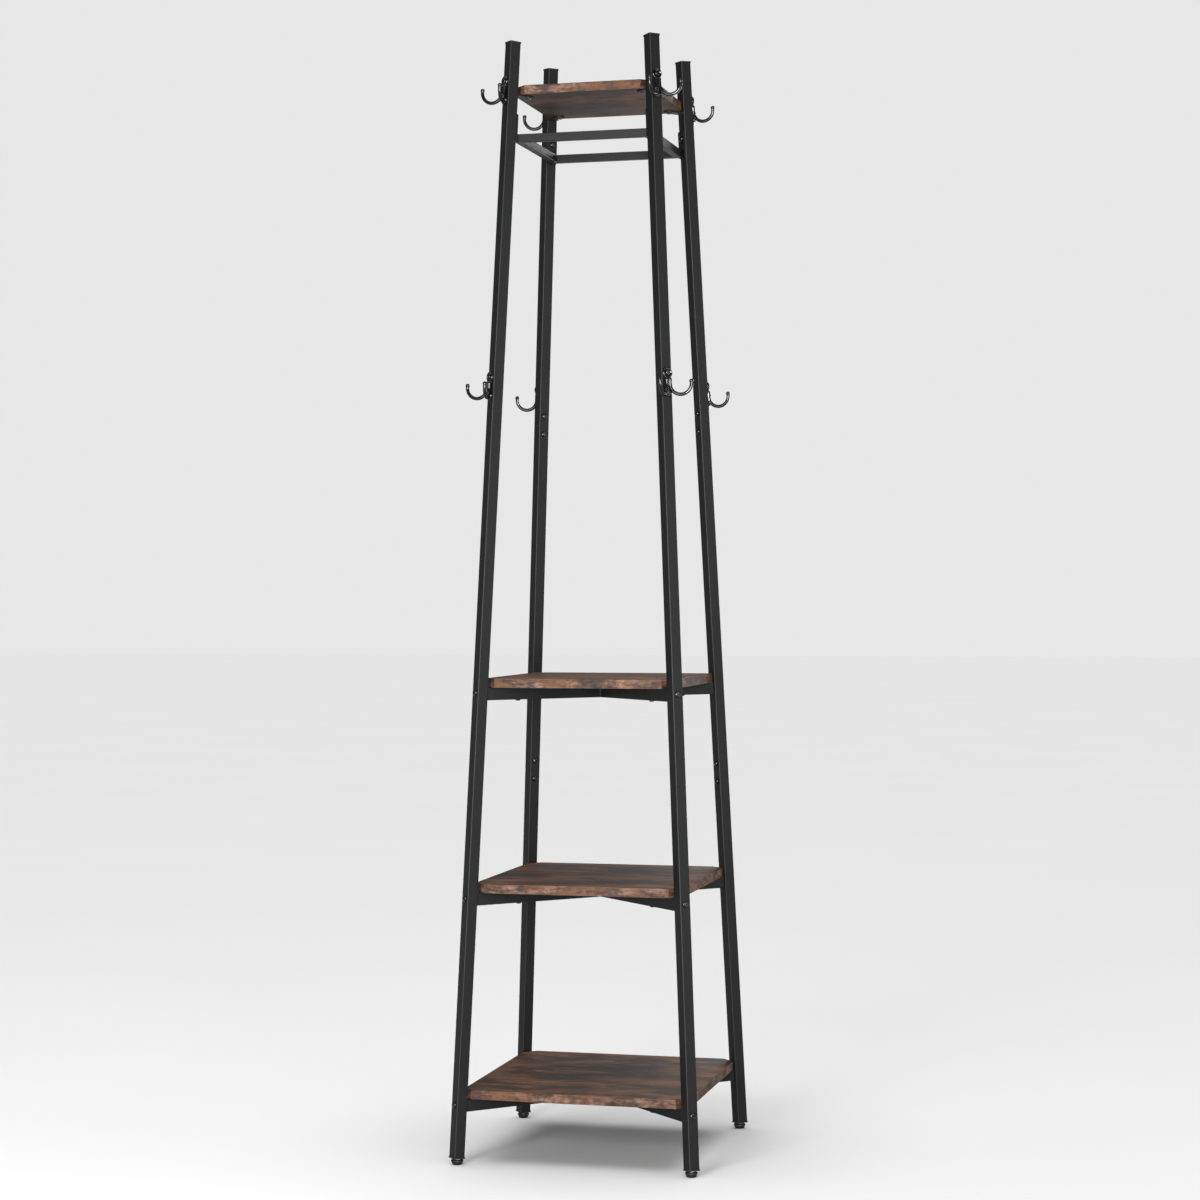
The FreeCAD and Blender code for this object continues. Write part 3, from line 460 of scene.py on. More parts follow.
BOARD_SKIN = rustic_board(
    "rustic board skin", SKIN_GRAIN, SKIN_WOOD, (0.011, 0.009, 0.009, 1), (0.190, 0.075, 0.026, 1), 0.42)
BOARD_EDGE = rustic_board(
    "rustic edge band", EDGE_GRAIN, EDGE_WOOD, (0.038, 0.026, 0.023, 1), (0.190, 0.078, 0.034, 1), 0.44)
# The underside finish is the skin print darkened to 0.42 of its colour: painted shade for the shadow under
# each board.
UNDERSIDE_PAINTED_SHADE = 0.42
PAINTED_SHADE_UNDER_WOOD = tuple((place, tuple(UNDERSIDE_PAINTED_SHADE * c for c in colour)) for place, colour in SKIN_WOOD)
BOARD_UNDER_PAINTED_SHADE = rustic_board(
    "rustic board underside", SKIN_GRAIN, PAINTED_SHADE_UNDER_WOOD, (0.007, 0.006, 0.006, 1), (0.050, 0.024, 0.012, 1), 0.5)
print("made", BOARD_SKIN.name + ",", BOARD_EDGE.name, "and", BOARD_UNDER_PAINTED_SHADE.name)

# %% [markdown]
# ## From a shape to a piece
#
# A bmesh is only geometry. To become a piece it needs an object, a finish and a body to
# ride on, and the frame's own node for it has to step back. One function does this the
# same way for all. Edges sharper than 35 degrees stay sharp in the shading, and a Weighted
# Normal modifier keeps the flats flat beside their rounded edges.

# %% Make a piece
SHARP = math.radians(35)


def make_piece(name, shape, finishes, stands_for=(), body="stand", place=None):
    """Turn a shape into a finished object that rides on a body of the frame."""
    if place is not None:
        bmesh.ops.transform(shape, matrix=place, verts=shape.verts)
    mesh = bpy.data.meshes.new(name)
    shape.to_mesh(mesh)
    shape.free()
    for finish in finishes:
        mesh.materials.append(finish)
    mesh.shade_smooth()
    mesh.set_sharp_from_angle(angle=SHARP)
    piece = bpy.data.objects.new(name, mesh)
    bpy.context.scene.collection.objects.link(piece)
    even = piece.modifiers.new("even shading", "WEIGHTED_NORMAL")
    even.keep_sharp = True
    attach(piece, body)
    if stands_for:
        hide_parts(*stands_for)
    return piece


def gather(shapes):
    """Put several shapes into one."""
    whole = bmesh.new()
    whole.verts.layers.float.new("edge")
    for shape in shapes:
        part = bpy.data.meshes.new("part")
        shape.to_mesh(part)
        shape.free()
        whole.from_mesh(part)
        bpy.data.meshes.remove(part)
    return whole


def moved(shape, place):
    """Move a shape to a place."""
    bmesh.ops.transform(shape, matrix=place, verts=shape.verts)
    return shape


print("piece maker ready")

# %% [markdown]
# ## Rounded bars
#
# Most of the stand is straight bar: legs, braces, ring, tabs, caps. Each starts as a cube
# that is stretched to the corners of its box. Its long edges are bevelled first, to the
# bend radius of the rolled tube, and its ends after that. Each vertex in the middle of a
# rounded edge is marked in an attribute called edge, so that the finishes can find it.

# %% Bars
def round_edges(shape, edges, radius, segments):
    """Round some edges and mark the middle of the rounding."""
    mark = shape.verts.layers.float.get("edge") or shape.verts.layers.float.new("edge")
    made = bmesh.ops.bevel(
        shape, geom=edges, offset=radius, offset_type="OFFSET", segments=segments,
        profile=0.5, affect="EDGES", material=-1)
    rounding = set(made["faces"])
    for vert in made["verts"]:
        if all(face in rounding for face in vert.link_faces):
            vert[mark] = 1.0


def lies_along(edge, axis):
    """Whether an edge runs along one axis."""
    run = (edge.verts[1].co - edge.verts[0].co).normalized()
    return abs(run[axis]) > 0.999


def block(low, high):
    """A box between two corners."""
    shape = bmesh.new()
    bmesh.ops.create_cube(shape, size=1.0)
    bmesh.ops.scale(shape, vec=high - low, verts=shape.verts)
    bmesh.ops.translate(shape, vec=(low + high) / 2, verts=shape.verts)
    return shape


def bar(low, high, radius, segments=5, axis=2):
    """A bar with its long edges rounded."""
    shape = block(low, high)
    long_edges = [e for e in shape.edges if lies_along(e, axis)]
    round_edges(shape, long_edges, radius, segments)
    return shape


def ends_of(shape, axis=2):
    """The flat faces at the two ends of a bar."""
    return [f for f in shape.faces if abs(f.normal[axis]) > 0.999]


def ease_ends(shape, radius, segments=2, axis=2):
    """Round the rims of a bar's ends a little."""
    rims = {edge for face in ends_of(shape, axis) for edge in face.edges}
    round_edges(shape, list(rims), radius, segments)


def cut_off(shape, point, normal):
    """Saw a shape along a plane, drop what is beyond it and close the cut."""
    everything = shape.verts[:] + shape.edges[:] + shape.faces[:]
    made = bmesh.ops.bisect_plane(
        shape, geom=everything, dist=1e-7, plane_co=point, plane_no=normal, clear_outer=True)
    rim = [item for item in made["geom_cut"] if isinstance(item, bmesh.types.BMEdge)]
    filled = bmesh.ops.edgenet_fill(shape, edges=rim)
    return filled["faces"]


print("bar tools ready")

# %% [markdown]
# ## Leg tubes
#
# A leg is three lengths of 19 mm square tube. Their saw cuts are eased, so that two tubes
# meet in a fine groove. Each tube is hollow: the end faces are inset by the wall, and the
# two openings are bridged, which makes the bore in one step and needs no boolean.

# %% Leg tubes
CORNER = 1.9 * MM
WALL = 1.2 * MM
EASED = 0.4 * MM


def square_tube(low, high):
    """A hollow square tube between two corners."""
    shape = bar(low, high, CORNER)
    ease_ends(shape, EASED)
    ends = ends_of(shape)
    bmesh.ops.inset_region(shape, faces=ends, thickness=WALL, use_even_offset=True)
    bmesh.ops.delete(shape, geom=ends, context="FACES_ONLY")
    open_edges = [e for e in shape.edges if e.is_boundary]
    bmesh.ops.bridge_loops(shape, edges=open_edges)
    bmesh.ops.recalc_face_normals(shape, faces=shape.faces)
    return shape


for leg in LEGS:
    for part in TUBES:
        node = "%s_%s_leg" % (leg, part)
        low, high = corners_in(node, PLACES[leg])
        make_piece(
            "%s_%s_tube" % (leg, part), square_tube(low, high), (POWDER,),
            (node,), place=PLACES[leg])
TUBE_HALF = high.x
print("tube side", round(2 * TUBE_HALF / MM, 2), "mm, three to a leg")

# %% [markdown]
# ## End caps and foot plugs
#
# A square plastic cap closes the top of each leg and a plug with a thin flange closes the
# bottom. Both are one moulding: a head that stands a little proud of the tube and a plug
# that fits inside. The head is a rounded bar; its inner face is inset and pushed into the
# tube for the plug, so there is no gap between them.

# %% Caps and plugs
CAP_ROUND = 0.9 * MM
PLUG_INSET = 2.1 * MM
PARTING = 0.2 * MM


def face_towards(shape, direction):
    """The flat face that looks most along a direction."""
    return max(shape.faces, key=lambda f: (round(f.normal.dot(direction), 3), f.calc_area()))


def moulding(low, high, head_low, head_high, crown):
    """A head and a plug: the plug fills the rest of the height from low to high."""
    shape = bar(Vector((low.x, low.y, head_low)), Vector((high.x, high.y, head_high)), CORNER)
    top = face_towards(shape, Vector((0, 0, crown)))
    round_edges(shape, list(top.edges), CAP_ROUND if crown > 0 else PARTING, 4)
    inner = face_towards(shape, Vector((0, 0, -crown)))
    bmesh.ops.inset_region(shape, faces=[inner], thickness=PLUG_INSET, use_even_offset=True)
    reach = (low.z - head_low) if crown > 0 else (high.z - head_high)
    made = bmesh.ops.extrude_face_region(shape, geom=[inner])
    pushed = [item for item in made["geom"] if isinstance(item, bmesh.types.BMVert)]
    bmesh.ops.translate(shape, vec=(0, 0, reach), verts=pushed)
    bmesh.ops.delete(shape, geom=[inner], context="FACES_ONLY")
    return shape


for leg in LEGS:
    place = PLACES[leg]
    tube_low = corners_in(leg + "_lower_leg", place)[0].z
    tube_high = corners_in(leg + "_upper_leg", place)[1].z
    low, high = corners_in(leg + "_end_cap", place)
    cap = moulding(low, high, tube_high, high.z, 1)
    make_piece(leg + "_tube_cap", cap, (PLASTIC,), (leg + "_end_cap",), place=place)
    low, high = corners_in(leg + "_foot_plug", place)
    plug = moulding(low, high, low.z, tube_low, -1)
    make_piece(leg + "_tube_plug", plug, (PLASTIC,), (leg + "_foot_plug",), place=place)
print("caps stand", round((high.x - TUBE_HALF) / MM, 2), "mm proud of the tube")

# %% [markdown]
# ## Turned shapes
#
# Pads, bolt heads and screw shanks are round. A few points of the profile, spun a full
# turn about z and merged at the seam, make them. A flat bottom is safer than a point at
# the pole, so each profile starts and ends on the axis and the pole is merged too.

# %% A lathe
def turned(profile, steps=40):
    """Spin a chain of points, given as radius and height, about z."""
    shape = bmesh.new()
    verts = [shape.verts.new((radius, 0, height)) for radius, height in profile]
    edges = [shape.edges.new(pair) for pair in zip(verts, verts[1:])]
    bmesh.ops.spin(
        shape, geom=verts + edges, cent=(0, 0, 0), axis=(0, 0, 1), angle=math.tau,
        steps=steps, use_merge=True)
    bmesh.ops.remove_doubles(shape, verts=shape.verts[:], dist=1e-7)
    bmesh.ops.recalc_face_normals(shape, faces=shape.faces)
    return shape


print("lathe ready")

# %% [markdown]
# ## Levelling feet
#
# A pad of black plastic swivels on the head of a threaded screw. Turning the hexagon above
# the pad winds the screw out of the leg and lifts it, so the screw and the pad are pieces
# of their own, on bodies of their own. The thread is a real one. It could be a bump in the
# finish, but it shows in outline when the foot is wound out, so we spin one tooth of the
# profile upwards: each full turn rises by one pitch, and neighbouring turns merge.

# %% Floor pads
def floor_pad(radius, base, height):
    """The pad's outline: a bevelled foot, a full waist, a moulded step and a flat top."""
    shoulder = height - 0.7 * MM
    return turned((
        (0, 0.3 * MM),
        (base * 0.72, 0.3 * MM),
        (base * 0.76, 0),
        (base - 0.4 * MM, 0),
        (base, 0.25 * MM),
        (radius - 1.0 * MM, height * 0.5),
        (radius - 0.25 * MM, height * 0.62),
        (radius, height * 0.7),
        (radius - 0.05 * MM, height * 0.8),
        (radius - 0.5 * MM, shoulder),
        (radius - 1.1 * MM, height - 0.2 * MM),
        (radius - 1.6 * MM, height),
        (radius * 0.5, height),
        (radius * 0.46, height - 0.6 * MM),
        (0, height - 0.6 * MM),
    ), 56)


PAD_BASE = 7.5 * MM
for leg in LEGS:
    low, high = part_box(leg + "_foot_pad")
    centre = (low + high) / 2
    pad = floor_pad((high.x - low.x) / 2, PAD_BASE, high.z - low.z)
    make_piece(
        leg + "_floor_pad", pad, (PLASTIC,), (leg + "_foot_pad",),
        leg + "_pad", Matrix.Translation((centre.x, centre.y, low.z)))
print("pads", round((high.x - low.x) / MM, 1), "mm across")

# %% Levelling screws
PITCH = 1.0 * MM
THREAD = 3.0 * MM
THREAD_DEEP = 0.55 * MM
FLATS = 10.0 * MM
HEXAGON = 1.0 * MM
THREAD_STEPS = 28


def thread(bottom, top):
    """A screw thread between two heights, cut level at both ends."""
    shape = bmesh.new()
    start = bottom - PITCH
    root = THREAD - THREAD_DEEP
    chain = [
        shape.verts.new((radius, 0, start + rise * PITCH))
        for radius, rise in ((root, 0), (THREAD, 0.42), (THREAD, 0.58), (root, 1))]
    edges = [shape.edges.new(pair) for pair in zip(chain, chain[1:])]
    turns = math.ceil((top - bottom) / PITCH) + 2
    bmesh.ops.spin(
        shape, geom=chain + edges, cent=(0, 0, 0), axis=(0, 0, 1), angle=math.tau * turns,
        dvec=(0, 0, PITCH / THREAD_STEPS), steps=THREAD_STEPS * turns)
    bmesh.ops.remove_doubles(shape, verts=shape.verts[:], dist=1e-6)
    bmesh.ops.recalc_face_normals(shape, faces=shape.faces)
    cut_off(shape, (0, 0, bottom), (0, 0, -1))
    cut_off(shape, (0, 0, top), (0, 0, 1))
    return shape


def hexagon(flats, bottom, height):
    """A six-sided collar with its corners turned off."""
    shape = bmesh.new()
    at = Matrix.Translation((0, 0, bottom + height / 2))
    bmesh.ops.create_cone(
        shape, cap_ends=True, segments=6, radius1=flats / math.sqrt(3),
        radius2=flats / math.sqrt(3), depth=height, matrix=at)
    rims = [e for e in shape.edges if not lies_along(e, 2)]
    round_edges(shape, rims, height * 0.2, 2)
    return shape


for leg in LEGS:
    low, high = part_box(leg + "_foot_screw")
    centre = (low + high) / 2
    pad_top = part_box(leg + "_foot_pad")[1].z
    collar_low = pad_top + 0.3 * MM - low.z
    head = turned((
        (0, 0), (4.6 * MM, 0), (5.0 * MM, 0.4 * MM), (5.0 * MM, 2.2 * MM),
        (3.4 * MM, 2.4 * MM), (3.0 * MM, 2.8 * MM), (3.0 * MM, collar_low), (0, collar_low)))
    collar = hexagon(FLATS, collar_low, HEXAGON)
    shank = thread(collar_low + HEXAGON * 0.5, high.z - low.z)
    screw = gather((head, collar, shank))
    make_piece(
        leg + "_levelling_screw", screw, (ZINC,), (leg + "_foot_screw",),
        leg + "_screw", Matrix.Translation((centre.x, centre.y, low.z)))
print("levelling screws rise to", round(high.z / MM, 1), "mm")

# %% [markdown]
# ## Bolts and screws
#
# Button-head bolts with a hexagon socket hold the frame together, and round-head screws
# with a cross hold hooks and boards. The dome is turned. The socket could be cut with a
# boolean, which leaves long thin faces. Instead the open rim of the dome is pulled down in
# rings, and each point of a ring moves in or out until the ring has the socket's outline.

# %% Heads with a socket
def hexagon_reach(angle, size):
    """Distance from the middle to the side of a hexagon, at an angle."""
    third = math.radians(60)
    return size / math.cos((angle % third) - third / 2)


def cross_reach(angle, size):
    """Distance from the middle to the side of a cross, at an angle."""
    along = max(abs(math.cos(angle)), abs(math.sin(angle)))
    aside = min(abs(math.cos(angle)), abs(math.sin(angle)))
    return min(size / along, size * 0.34 / max(aside, 0.05))


def pull_rim(shape, rim, height, reach):
    """Extrude an open rim and give the new ring its height and outline."""
    made = bmesh.ops.extrude_edge_only(shape, edges=rim)
    ring = [item for item in made["geom"] if isinstance(item, bmesh.types.BMVert)]
    for vert in ring:
        angle = math.atan2(vert.co.y, vert.co.x)
        distance = reach(angle)
        vert.co = (distance * math.cos(angle), distance * math.sin(angle), height)
    return [item for item in made["geom"] if isinstance(item, bmesh.types.BMEdge)
            and all(v in ring for v in item.verts)]


def fastener(head, dome, shank, length, socket, outline):
    """A bolt whose head seats at z = 0 and whose shank runs down."""
    rim = socket * 1.25
    curve = []
    for i in range(1, 7):
        share = i / 6
        radius = head + (rim - head) * share ** 1.6
        curve.append((radius, dome * (0.3 + 0.7 * math.sin(share * math.pi / 2))))
    skirt = [(head - 0.25 * MM, 0), (head, 0.2 * MM), (head, dome * 0.3)]
    foot = [(0, -length), (shank - 0.5 * MM, -length), (shank, 0.5 * MM - length), (shank, 0)]
    shape = turned(foot + skirt + curve, 48)
    open_rim = [e for e in shape.edges if e.is_boundary]
    lip = pull_rim(shape, open_rim, dome * 0.97, lambda a: outline(a, socket) + 0.12 * MM)
    wall = pull_rim(shape, lip, dome * 0.88, lambda a: outline(a, socket))
    floor = pull_rim(shape, wall, dome * 0.3, lambda a: outline(a, socket))
    bmesh.ops.edgenet_fill(shape, edges=floor)
    bmesh.ops.recalc_face_normals(shape, faces=shape.faces)
    return shape


print("fastener maker ready")

# %% [markdown]
# ## Putting each fastener where the frame has one
#
# The frame holds each kind of fastener as a group of solids. For each solid we find which
# end is the head: it is the wide end. That gives the seat and the direction, and a new
# fastener is put there. Heads are turned a little differently, as a person leaves them.

# %% Seats
def seat_of(points, axis):
    """Where a fastener's head seats, which way it looks, its head, dome and length."""
    along = [p.dot(axis) for p in points]
    middle = sum(points, Vector()) / len(points)
    low, high = min(along), max(along)
    centre_line = (corners(points)[0] + corners(points)[1]) / 2
    reach = {True: 0.0, False: 0.0}
    for point, height in zip(points, along):
        aside = point - centre_line
        wide = (aside - axis * aside.dot(axis)).length
        upper = height > (low + high) / 2
        reach[upper] = max(reach[upper], wide)
    looks = axis if reach[True] > reach[False] else -axis
    sign = 1 if reach[True] > reach[False] else -1
    head = max(reach.values())
    shank = min(reach.values())
    on_shoulder = []
    for point in points:
        aside = point - centre_line
        wide = (aside - axis * aside.dot(axis)).length
        if wide > (head + shank) / 2:
            on_shoulder.append(sign * point.dot(axis))
    seat = min(on_shoulder)
    top = max(sign * low, sign * high)
    bottom = min(sign * low, sign * high)
    origin = centre_line + looks * (seat - centre_line.dot(looks))
    return origin, looks, head, shank, top - seat, seat - bottom, middle


def facing(origin, looks, turn):
    """A place whose z looks along a direction, turned about it."""
    swing = looks.to_track_quat("Z", "Y").to_matrix().to_4x4()
    return Matrix.Translation(origin) @ swing @ Matrix.Rotation(turn, 4, "Z")


TWIST = math.radians(37)


def fasteners(node, name, socket, outline, axis_of):
    """A new fastener for each solid of a group."""
    made = []
    for i, points in enumerate(solids_of(node)):
        origin, looks, head, shank, dome, length, _ = seat_of(points, axis_of(points))
        shape = fastener(head, dome, shank, length, socket, outline)
        made.append(moved(shape, facing(origin, looks, i * TWIST)))
    make_piece(name, gather(made), (BOLT_GLOSS,), (node,))
    print(name, len(made), "with heads", round(2 * head / MM, 1), "mm across")


def out_of_leg(points):
    """The direction square to a leg's outward face."""
    return PLACES[leg_at(points)].to_3x3().col[0].normalized()


def upright(points):
    return Vector((0, 0, 1))


SOCKET = 1.75 * MM
CROSS = 2.1 * MM
fasteners("leg_joint_bolts", "joint_bolts", SOCKET, hexagon_reach, out_of_leg)
fasteners("brace_bolts", "brace_end_bolts", SOCKET, hexagon_reach, out_of_leg)
fasteners("ring_bolts", "ring_tab_bolts", SOCKET, hexagon_reach, out_of_leg)
fasteners("hook_screws", "coat_hook_screws", CROSS, cross_reach, out_of_leg)
fasteners("shelf_screws", "board_screws", CROSS, cross_reach, upright)
fasteners("top_shelf_screws", "top_board_screws", CROSS, cross_reach, upright)

# %% [markdown]
# ## Boards
#
# A board is a square with its four corners sawn off to clear the legs. We start from the
# board's box and saw each corner with a plane, as the factory does, then round the edges
# by half a millimetre. The top gets the skin, the sides the edge band, and the underside
# the skin print darkened, as painted shade for the shadow under the board. Each face also
# gets its place in the grain map: along the grain on the flat sides, along the edge on the
# narrow ones.

# %% Boards
BOARD_ROUND = 0.5 * MM
DIAGONALS = [Vector((x, y, 0)).normalized() for x in (-1, 1) for y in (-1, 1)]


def sawn_board(node):
    low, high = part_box(node)
    shape = block(low, high)
    points = [v.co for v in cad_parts[node].data.vertices]
    for diagonal in DIAGONALS:
        reach = max(p.dot(diagonal) for p in points)
        cut_off(shape, diagonal * reach, diagonal)
    upright_edges = [e for e in shape.edges if lies_along(e, 2)]
    round_edges(shape, upright_edges, BOARD_ROUND, 3)
    rims = {edge for face in ends_of(shape) for edge in face.edges}
    round_edges(shape, list(rims), BOARD_ROUND, 3)
    return shape


def map_grain(shape, shift):
    """Lay the grain map over a board: u along the grain, v across it."""
    layer = shape.loops.layers.uv.new("grain")
    for face in shape.faces:
        normal = face.normal
        level = abs(normal.z) > 0.7
        # Faces that look down get the third finish, the skin print darkened as painted shade.
        face.material_index = 1 if not level else (0 if normal.z > 0 else 2)
        run = Vector((-normal.y, normal.x, 0)).normalized()
        for loop in face.loops:
            point = loop.vert.co
            if level:
                loop[layer].uv = (point.x + shift, point.y + 2 * shift)
            else:
                loop[layer].uv = (point.dot(run) + 3 * shift, point.z + normal.x + normal.y)


for i, name in enumerate(BOARDS):
    board = sawn_board(name + "_shelf")
    map_grain(board, 1.7 * (i + 1))
    make_piece(
        name + "_board", board, (BOARD_SKIN, BOARD_EDGE, BOARD_UNDER_PAINTED_SHADE),
        (name + "_shelf",))
    low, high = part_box(name + "_shelf")
    print(name, "board", round((high.x - low.x) / MM), "mm wide")

# %% [markdown]
# ## Cross braces
#
# Under each braced board two flat tubes cross on the diagonals. One runs through, the
# other is two halves welded to its sides. Their ends meet the leaning faces of the legs.
# Each bar starts longer than it is and is sawn by the plane of the leg's own face, so it
# can't miss it.

# %% Brace bars
BRACE_CORNER = 0.9 * MM
DIAGONAL = {"back_right": 45, "front_right": -45, "front_left": 225, "back_left": 135}


def towards(leg):
    """A level place at the centre line whose x runs towards a leg."""
    return Matrix.Rotation(math.radians(DIAGONAL[leg]), 4, "Z")


def saw_to_leg(shape, leg, inset=0.0):
    """Saw off what is beyond a leg's inward face, or beyond a plate on it."""
    place = PLACES[leg]
    out = place.to_3x3().col[0].normalized()
    cut_off(shape, place.translation - out * (TUBE_HALF + inset), out)


def brace_bar(node, legs, inner):
    """A bar along a diagonal. It runs from leg to leg, or from inner out to one leg."""
    place = towards(legs[0])
    low, high = corners_in(node, place)
    half = min(-low.y, high.y)
    if len(legs) == 1:
        half = BRACE_HALF
    start = -high.x - 5 * MM if len(legs) == 2 else inner
    shape = bar(
        Vector((start, -half, low.z)), Vector((high.x + 5 * MM, half, high.z)),
        BRACE_CORNER, 4, 0)
    moved(shape, place)
    for leg in legs:
        saw_to_leg(shape, leg)
    return shape


for name in BRACED:
    long_node = name + "_brace_long_bar"
    low, high = corners_in(long_node, towards("back_right"))
    BRACE_HALF = high.y
    shape = brace_bar(long_node, ("back_right", "front_left"), 0)
    make_piece(name + "_cross_long_bar", shape, (POWDER,), (long_node,))
    short_node = name + "_brace_short_bars"
    halves = [brace_bar(short_node, (leg,), BRACE_HALF) for leg in ("front_right", "back_left")]
    make_piece(
        name + "_cross_short_bars", gather(halves), (POWDER,), (short_node,))
print("brace bars", round(2 * BRACE_HALF / MM, 1), "mm wide")

# %% [markdown]
# ## The ring
#
# Four square bars meet in mitres. Each bar is sawn at both ends by the diagonal planes,
# then its outer corners are sawn flat where the tabs are welded on.

# %% Ring bars
RING_CORNER = 0.9 * MM
TAB = 2.5 * MM
RING_LEGS = {
    "front": ("front_left", "front_right"),
    "right": ("front_right", "back_right"),
    "back": ("back_right", "back_left"),
    "left": ("back_left", "front_left"),
}


def ring_bar(side):
    low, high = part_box(side + "_ring_bar")
    level = side in ("front", "back")
    shape = bar(low, high, RING_CORNER, 4, 0 if level else 1)
    first, second = (towards(leg).to_3x3().col[0] for leg in RING_LEGS[side])
    for out, other in ((first, second), (second, first)):
        across = Vector((0, 0, 1)).cross(out)
        away = across if across.dot(other) < 0 else -across
        cut_off(shape, Vector(), away)
    for leg in RING_LEGS[side]:
        saw_to_leg(shape, leg, TAB)
    return shape


for side in SIDES:
    make_piece(
        side + "_ring_rail", ring_bar(side), (POWDER,),
        (side + "_ring_bar",))
print("ring rails made")

# %% [markdown]
# ## Tabs
#
# The ring hangs on four upright plates bolted to the legs. The top board lies on four level
# tabs with round noses. Both are punched from flat bar, so their rims are slightly rounded.

# %% Ring tabs and shelf tabs
PUNCHED = 0.35 * MM


def ring_tab(points):
    """An upright plate against the inward face of a leg."""
    place = PLACES[leg_at(points)]
    low, high = corners([place.inverted() @ p for p in points])
    shape = block(low, high)
    sides = [e for e in shape.edges if lies_along(e, 0)]
    round_edges(shape, sides, 2.0 * MM, 4)
    rims = {edge for face in ends_of(shape, 0) for edge in face.edges}
    round_edges(shape, list(rims), PUNCHED, 2)
    return moved(shape, place)


def shelf_tab(points):
    """A level tab with a round nose, from a leg towards the centre."""
    leg = leg_at(points)
    place = towards(leg)
    low, high = corners([place.inverted() @ p for p in points])
    shape = block(low, Vector((high.x + 3 * MM, high.y, high.z)))
    nose = [e for e in shape.edges if lies_along(e, 2) and e.verts[0].co.x < low.x + MM]
    round_edges(shape, nose, high.y - 0.02 * MM, 10)
    rims = {edge for face in ends_of(shape, 2) for edge in face.edges}
    round_edges(shape, list(rims), PUNCHED, 2)
    moved(shape, place)
    saw_to_leg(shape, leg)
    return shape


plates = [ring_tab(points) for points in solids_of("ring_tabs")]
make_piece("ring_plates", gather(plates), (POWDER,), ("ring_tabs",))
tabs = [shelf_tab(points) for points in solids_of("top_shelf_tabs")]
make_piece("board_tabs", gather(tabs), (POWDER,), ("top_shelf_tabs",))
print(len(plates), "ring plates and", len(tabs), "board tabs")

# %% [markdown]
# ## Coat hooks
#
# Each hook is one casting: a plate with a raised round top, a waist and a rounded heel, and
# two arms that swing out and end in balls. Modelling the blends between plate and arms by
# hand would take many careful loops. Casting does it for us in reality, and a voxel remesh
# does it here: simple solids are laid over each other, remeshed into one skin, and smoothed
# until the joins flow. Every part of it is measured up the plate, in millimetres.

# %% One arm
ARM = 3.05
TIP = 2.8
BALL = 3.5
ROOT = 4.0
BEND = 17.0
BEND_AT = 21.0
ARM_START = 29.5
ARM_RISE = 1.4
ARM_TIP = 24.5
SWING = 50
ARM_STEPS = 18


def step_arm(shape, ring, matrix, shrink):
    """Extrude a ring of edges, move the new ring on and make it a little thinner."""
    made = bmesh.ops.extrude_edge_only(shape, edges=ring)
    verts = [item for item in made["geom"] if isinstance(item, bmesh.types.BMVert)]
    edges = [item for item in made["geom"] if isinstance(item, bmesh.types.BMEdge)]
    bmesh.ops.transform(shape, matrix=matrix, verts=verts)
    centre = sum((v.co for v in verts), Vector()) / len(verts)
    bmesh.ops.scale(
        shape, vec=(shrink,) * 3, verts=verts, space=Matrix.Translation(-centre))
    return [edge for edge in edges if all(v in verts for v in edge.verts)]


def hook_arm(side):
    """An arm in the plane of x and z, then swung to its side. Its end is a ball."""
    shape = bmesh.new()
    start = Matrix.Translation((ROOT, 0, ARM_START + 2 * ARM_RISE))
    bmesh.ops.create_circle(shape, segments=20, radius=ARM * 0.3, matrix=start)
    ring = step_arm(shape, shape.edges[:], Matrix.Translation((0, 0, -ARM_RISE)), 2.4)
    ring = step_arm(shape, ring, Matrix.Translation((0, 0, -ARM_RISE)), 1.0 / 0.72)
    ring = step_arm(shape, ring, Matrix.Translation((0, 0, BEND_AT - ARM_START)), 1.0)
    hub = Matrix.Translation((ROOT + BEND, 0, BEND_AT))
    turn = hub @ Matrix.Rotation(-math.pi / ARM_STEPS, 4, "Y") @ hub.inverted()
    shrink = (TIP / ARM) ** (1 / ARM_STEPS)
    for _ in range(ARM_STEPS):
        ring = step_arm(shape, ring, turn, shrink)
    step_arm(shape, ring, Matrix.Translation((0, 0, ARM_TIP - BEND_AT)), 1.0)
    open_ends = [edge for edge in shape.edges if edge.is_boundary]
    bmesh.ops.edgenet_fill(shape, edges=open_ends)
    tip = Matrix.Translation((ROOT + 2 * BEND, 0, ARM_TIP))
    bmesh.ops.create_uvsphere(shape, u_segments=24, v_segments=16, radius=BALL, matrix=tip)
    bmesh.ops.recalc_face_normals(shape, faces=shape.faces)
    return moved(shape, Matrix.Rotation(math.radians(side * SWING), 4, "Z"))


print("an arm reaches", ROOT + 2 * BEND, "mm from its root")


# %% The plate
PLATE = 3.5
DISC = 9.0
DISC_AT = 39.0
HEEL = 7.6
HEEL_AT = 8.8
WAIST = 6.2


def out_of_plate(height):
    """A place on the plate at a height, whose z looks out of it."""
    return Matrix.Translation((0, 0, height)) @ Matrix.Rotation(math.pi / 2, 4, "Y")


def disc_top():
    """The round top, with a raised lip round a dished seat for the screw."""
    return moved(turned((
        (0, 0), (DISC, 0), (DISC, 2.4), (DISC - 0.5, 3.7), (DISC - 1.4, 4.3),
        (DISC - 2.4, 4.1), (DISC - 3.4, 3.3), (DISC - 4.4, 3.0), (0, 3.0)), 48),
        out_of_plate(DISC_AT))


def heel():
    """The rounded lower end."""
    return moved(turned((
        (0, 0), (HEEL, 0), (HEEL, 2.2), (HEEL - 0.6, 3.1), (HEEL - 1.8, PLATE), (0, PLATE)), 40),
        out_of_plate(HEEL_AT))


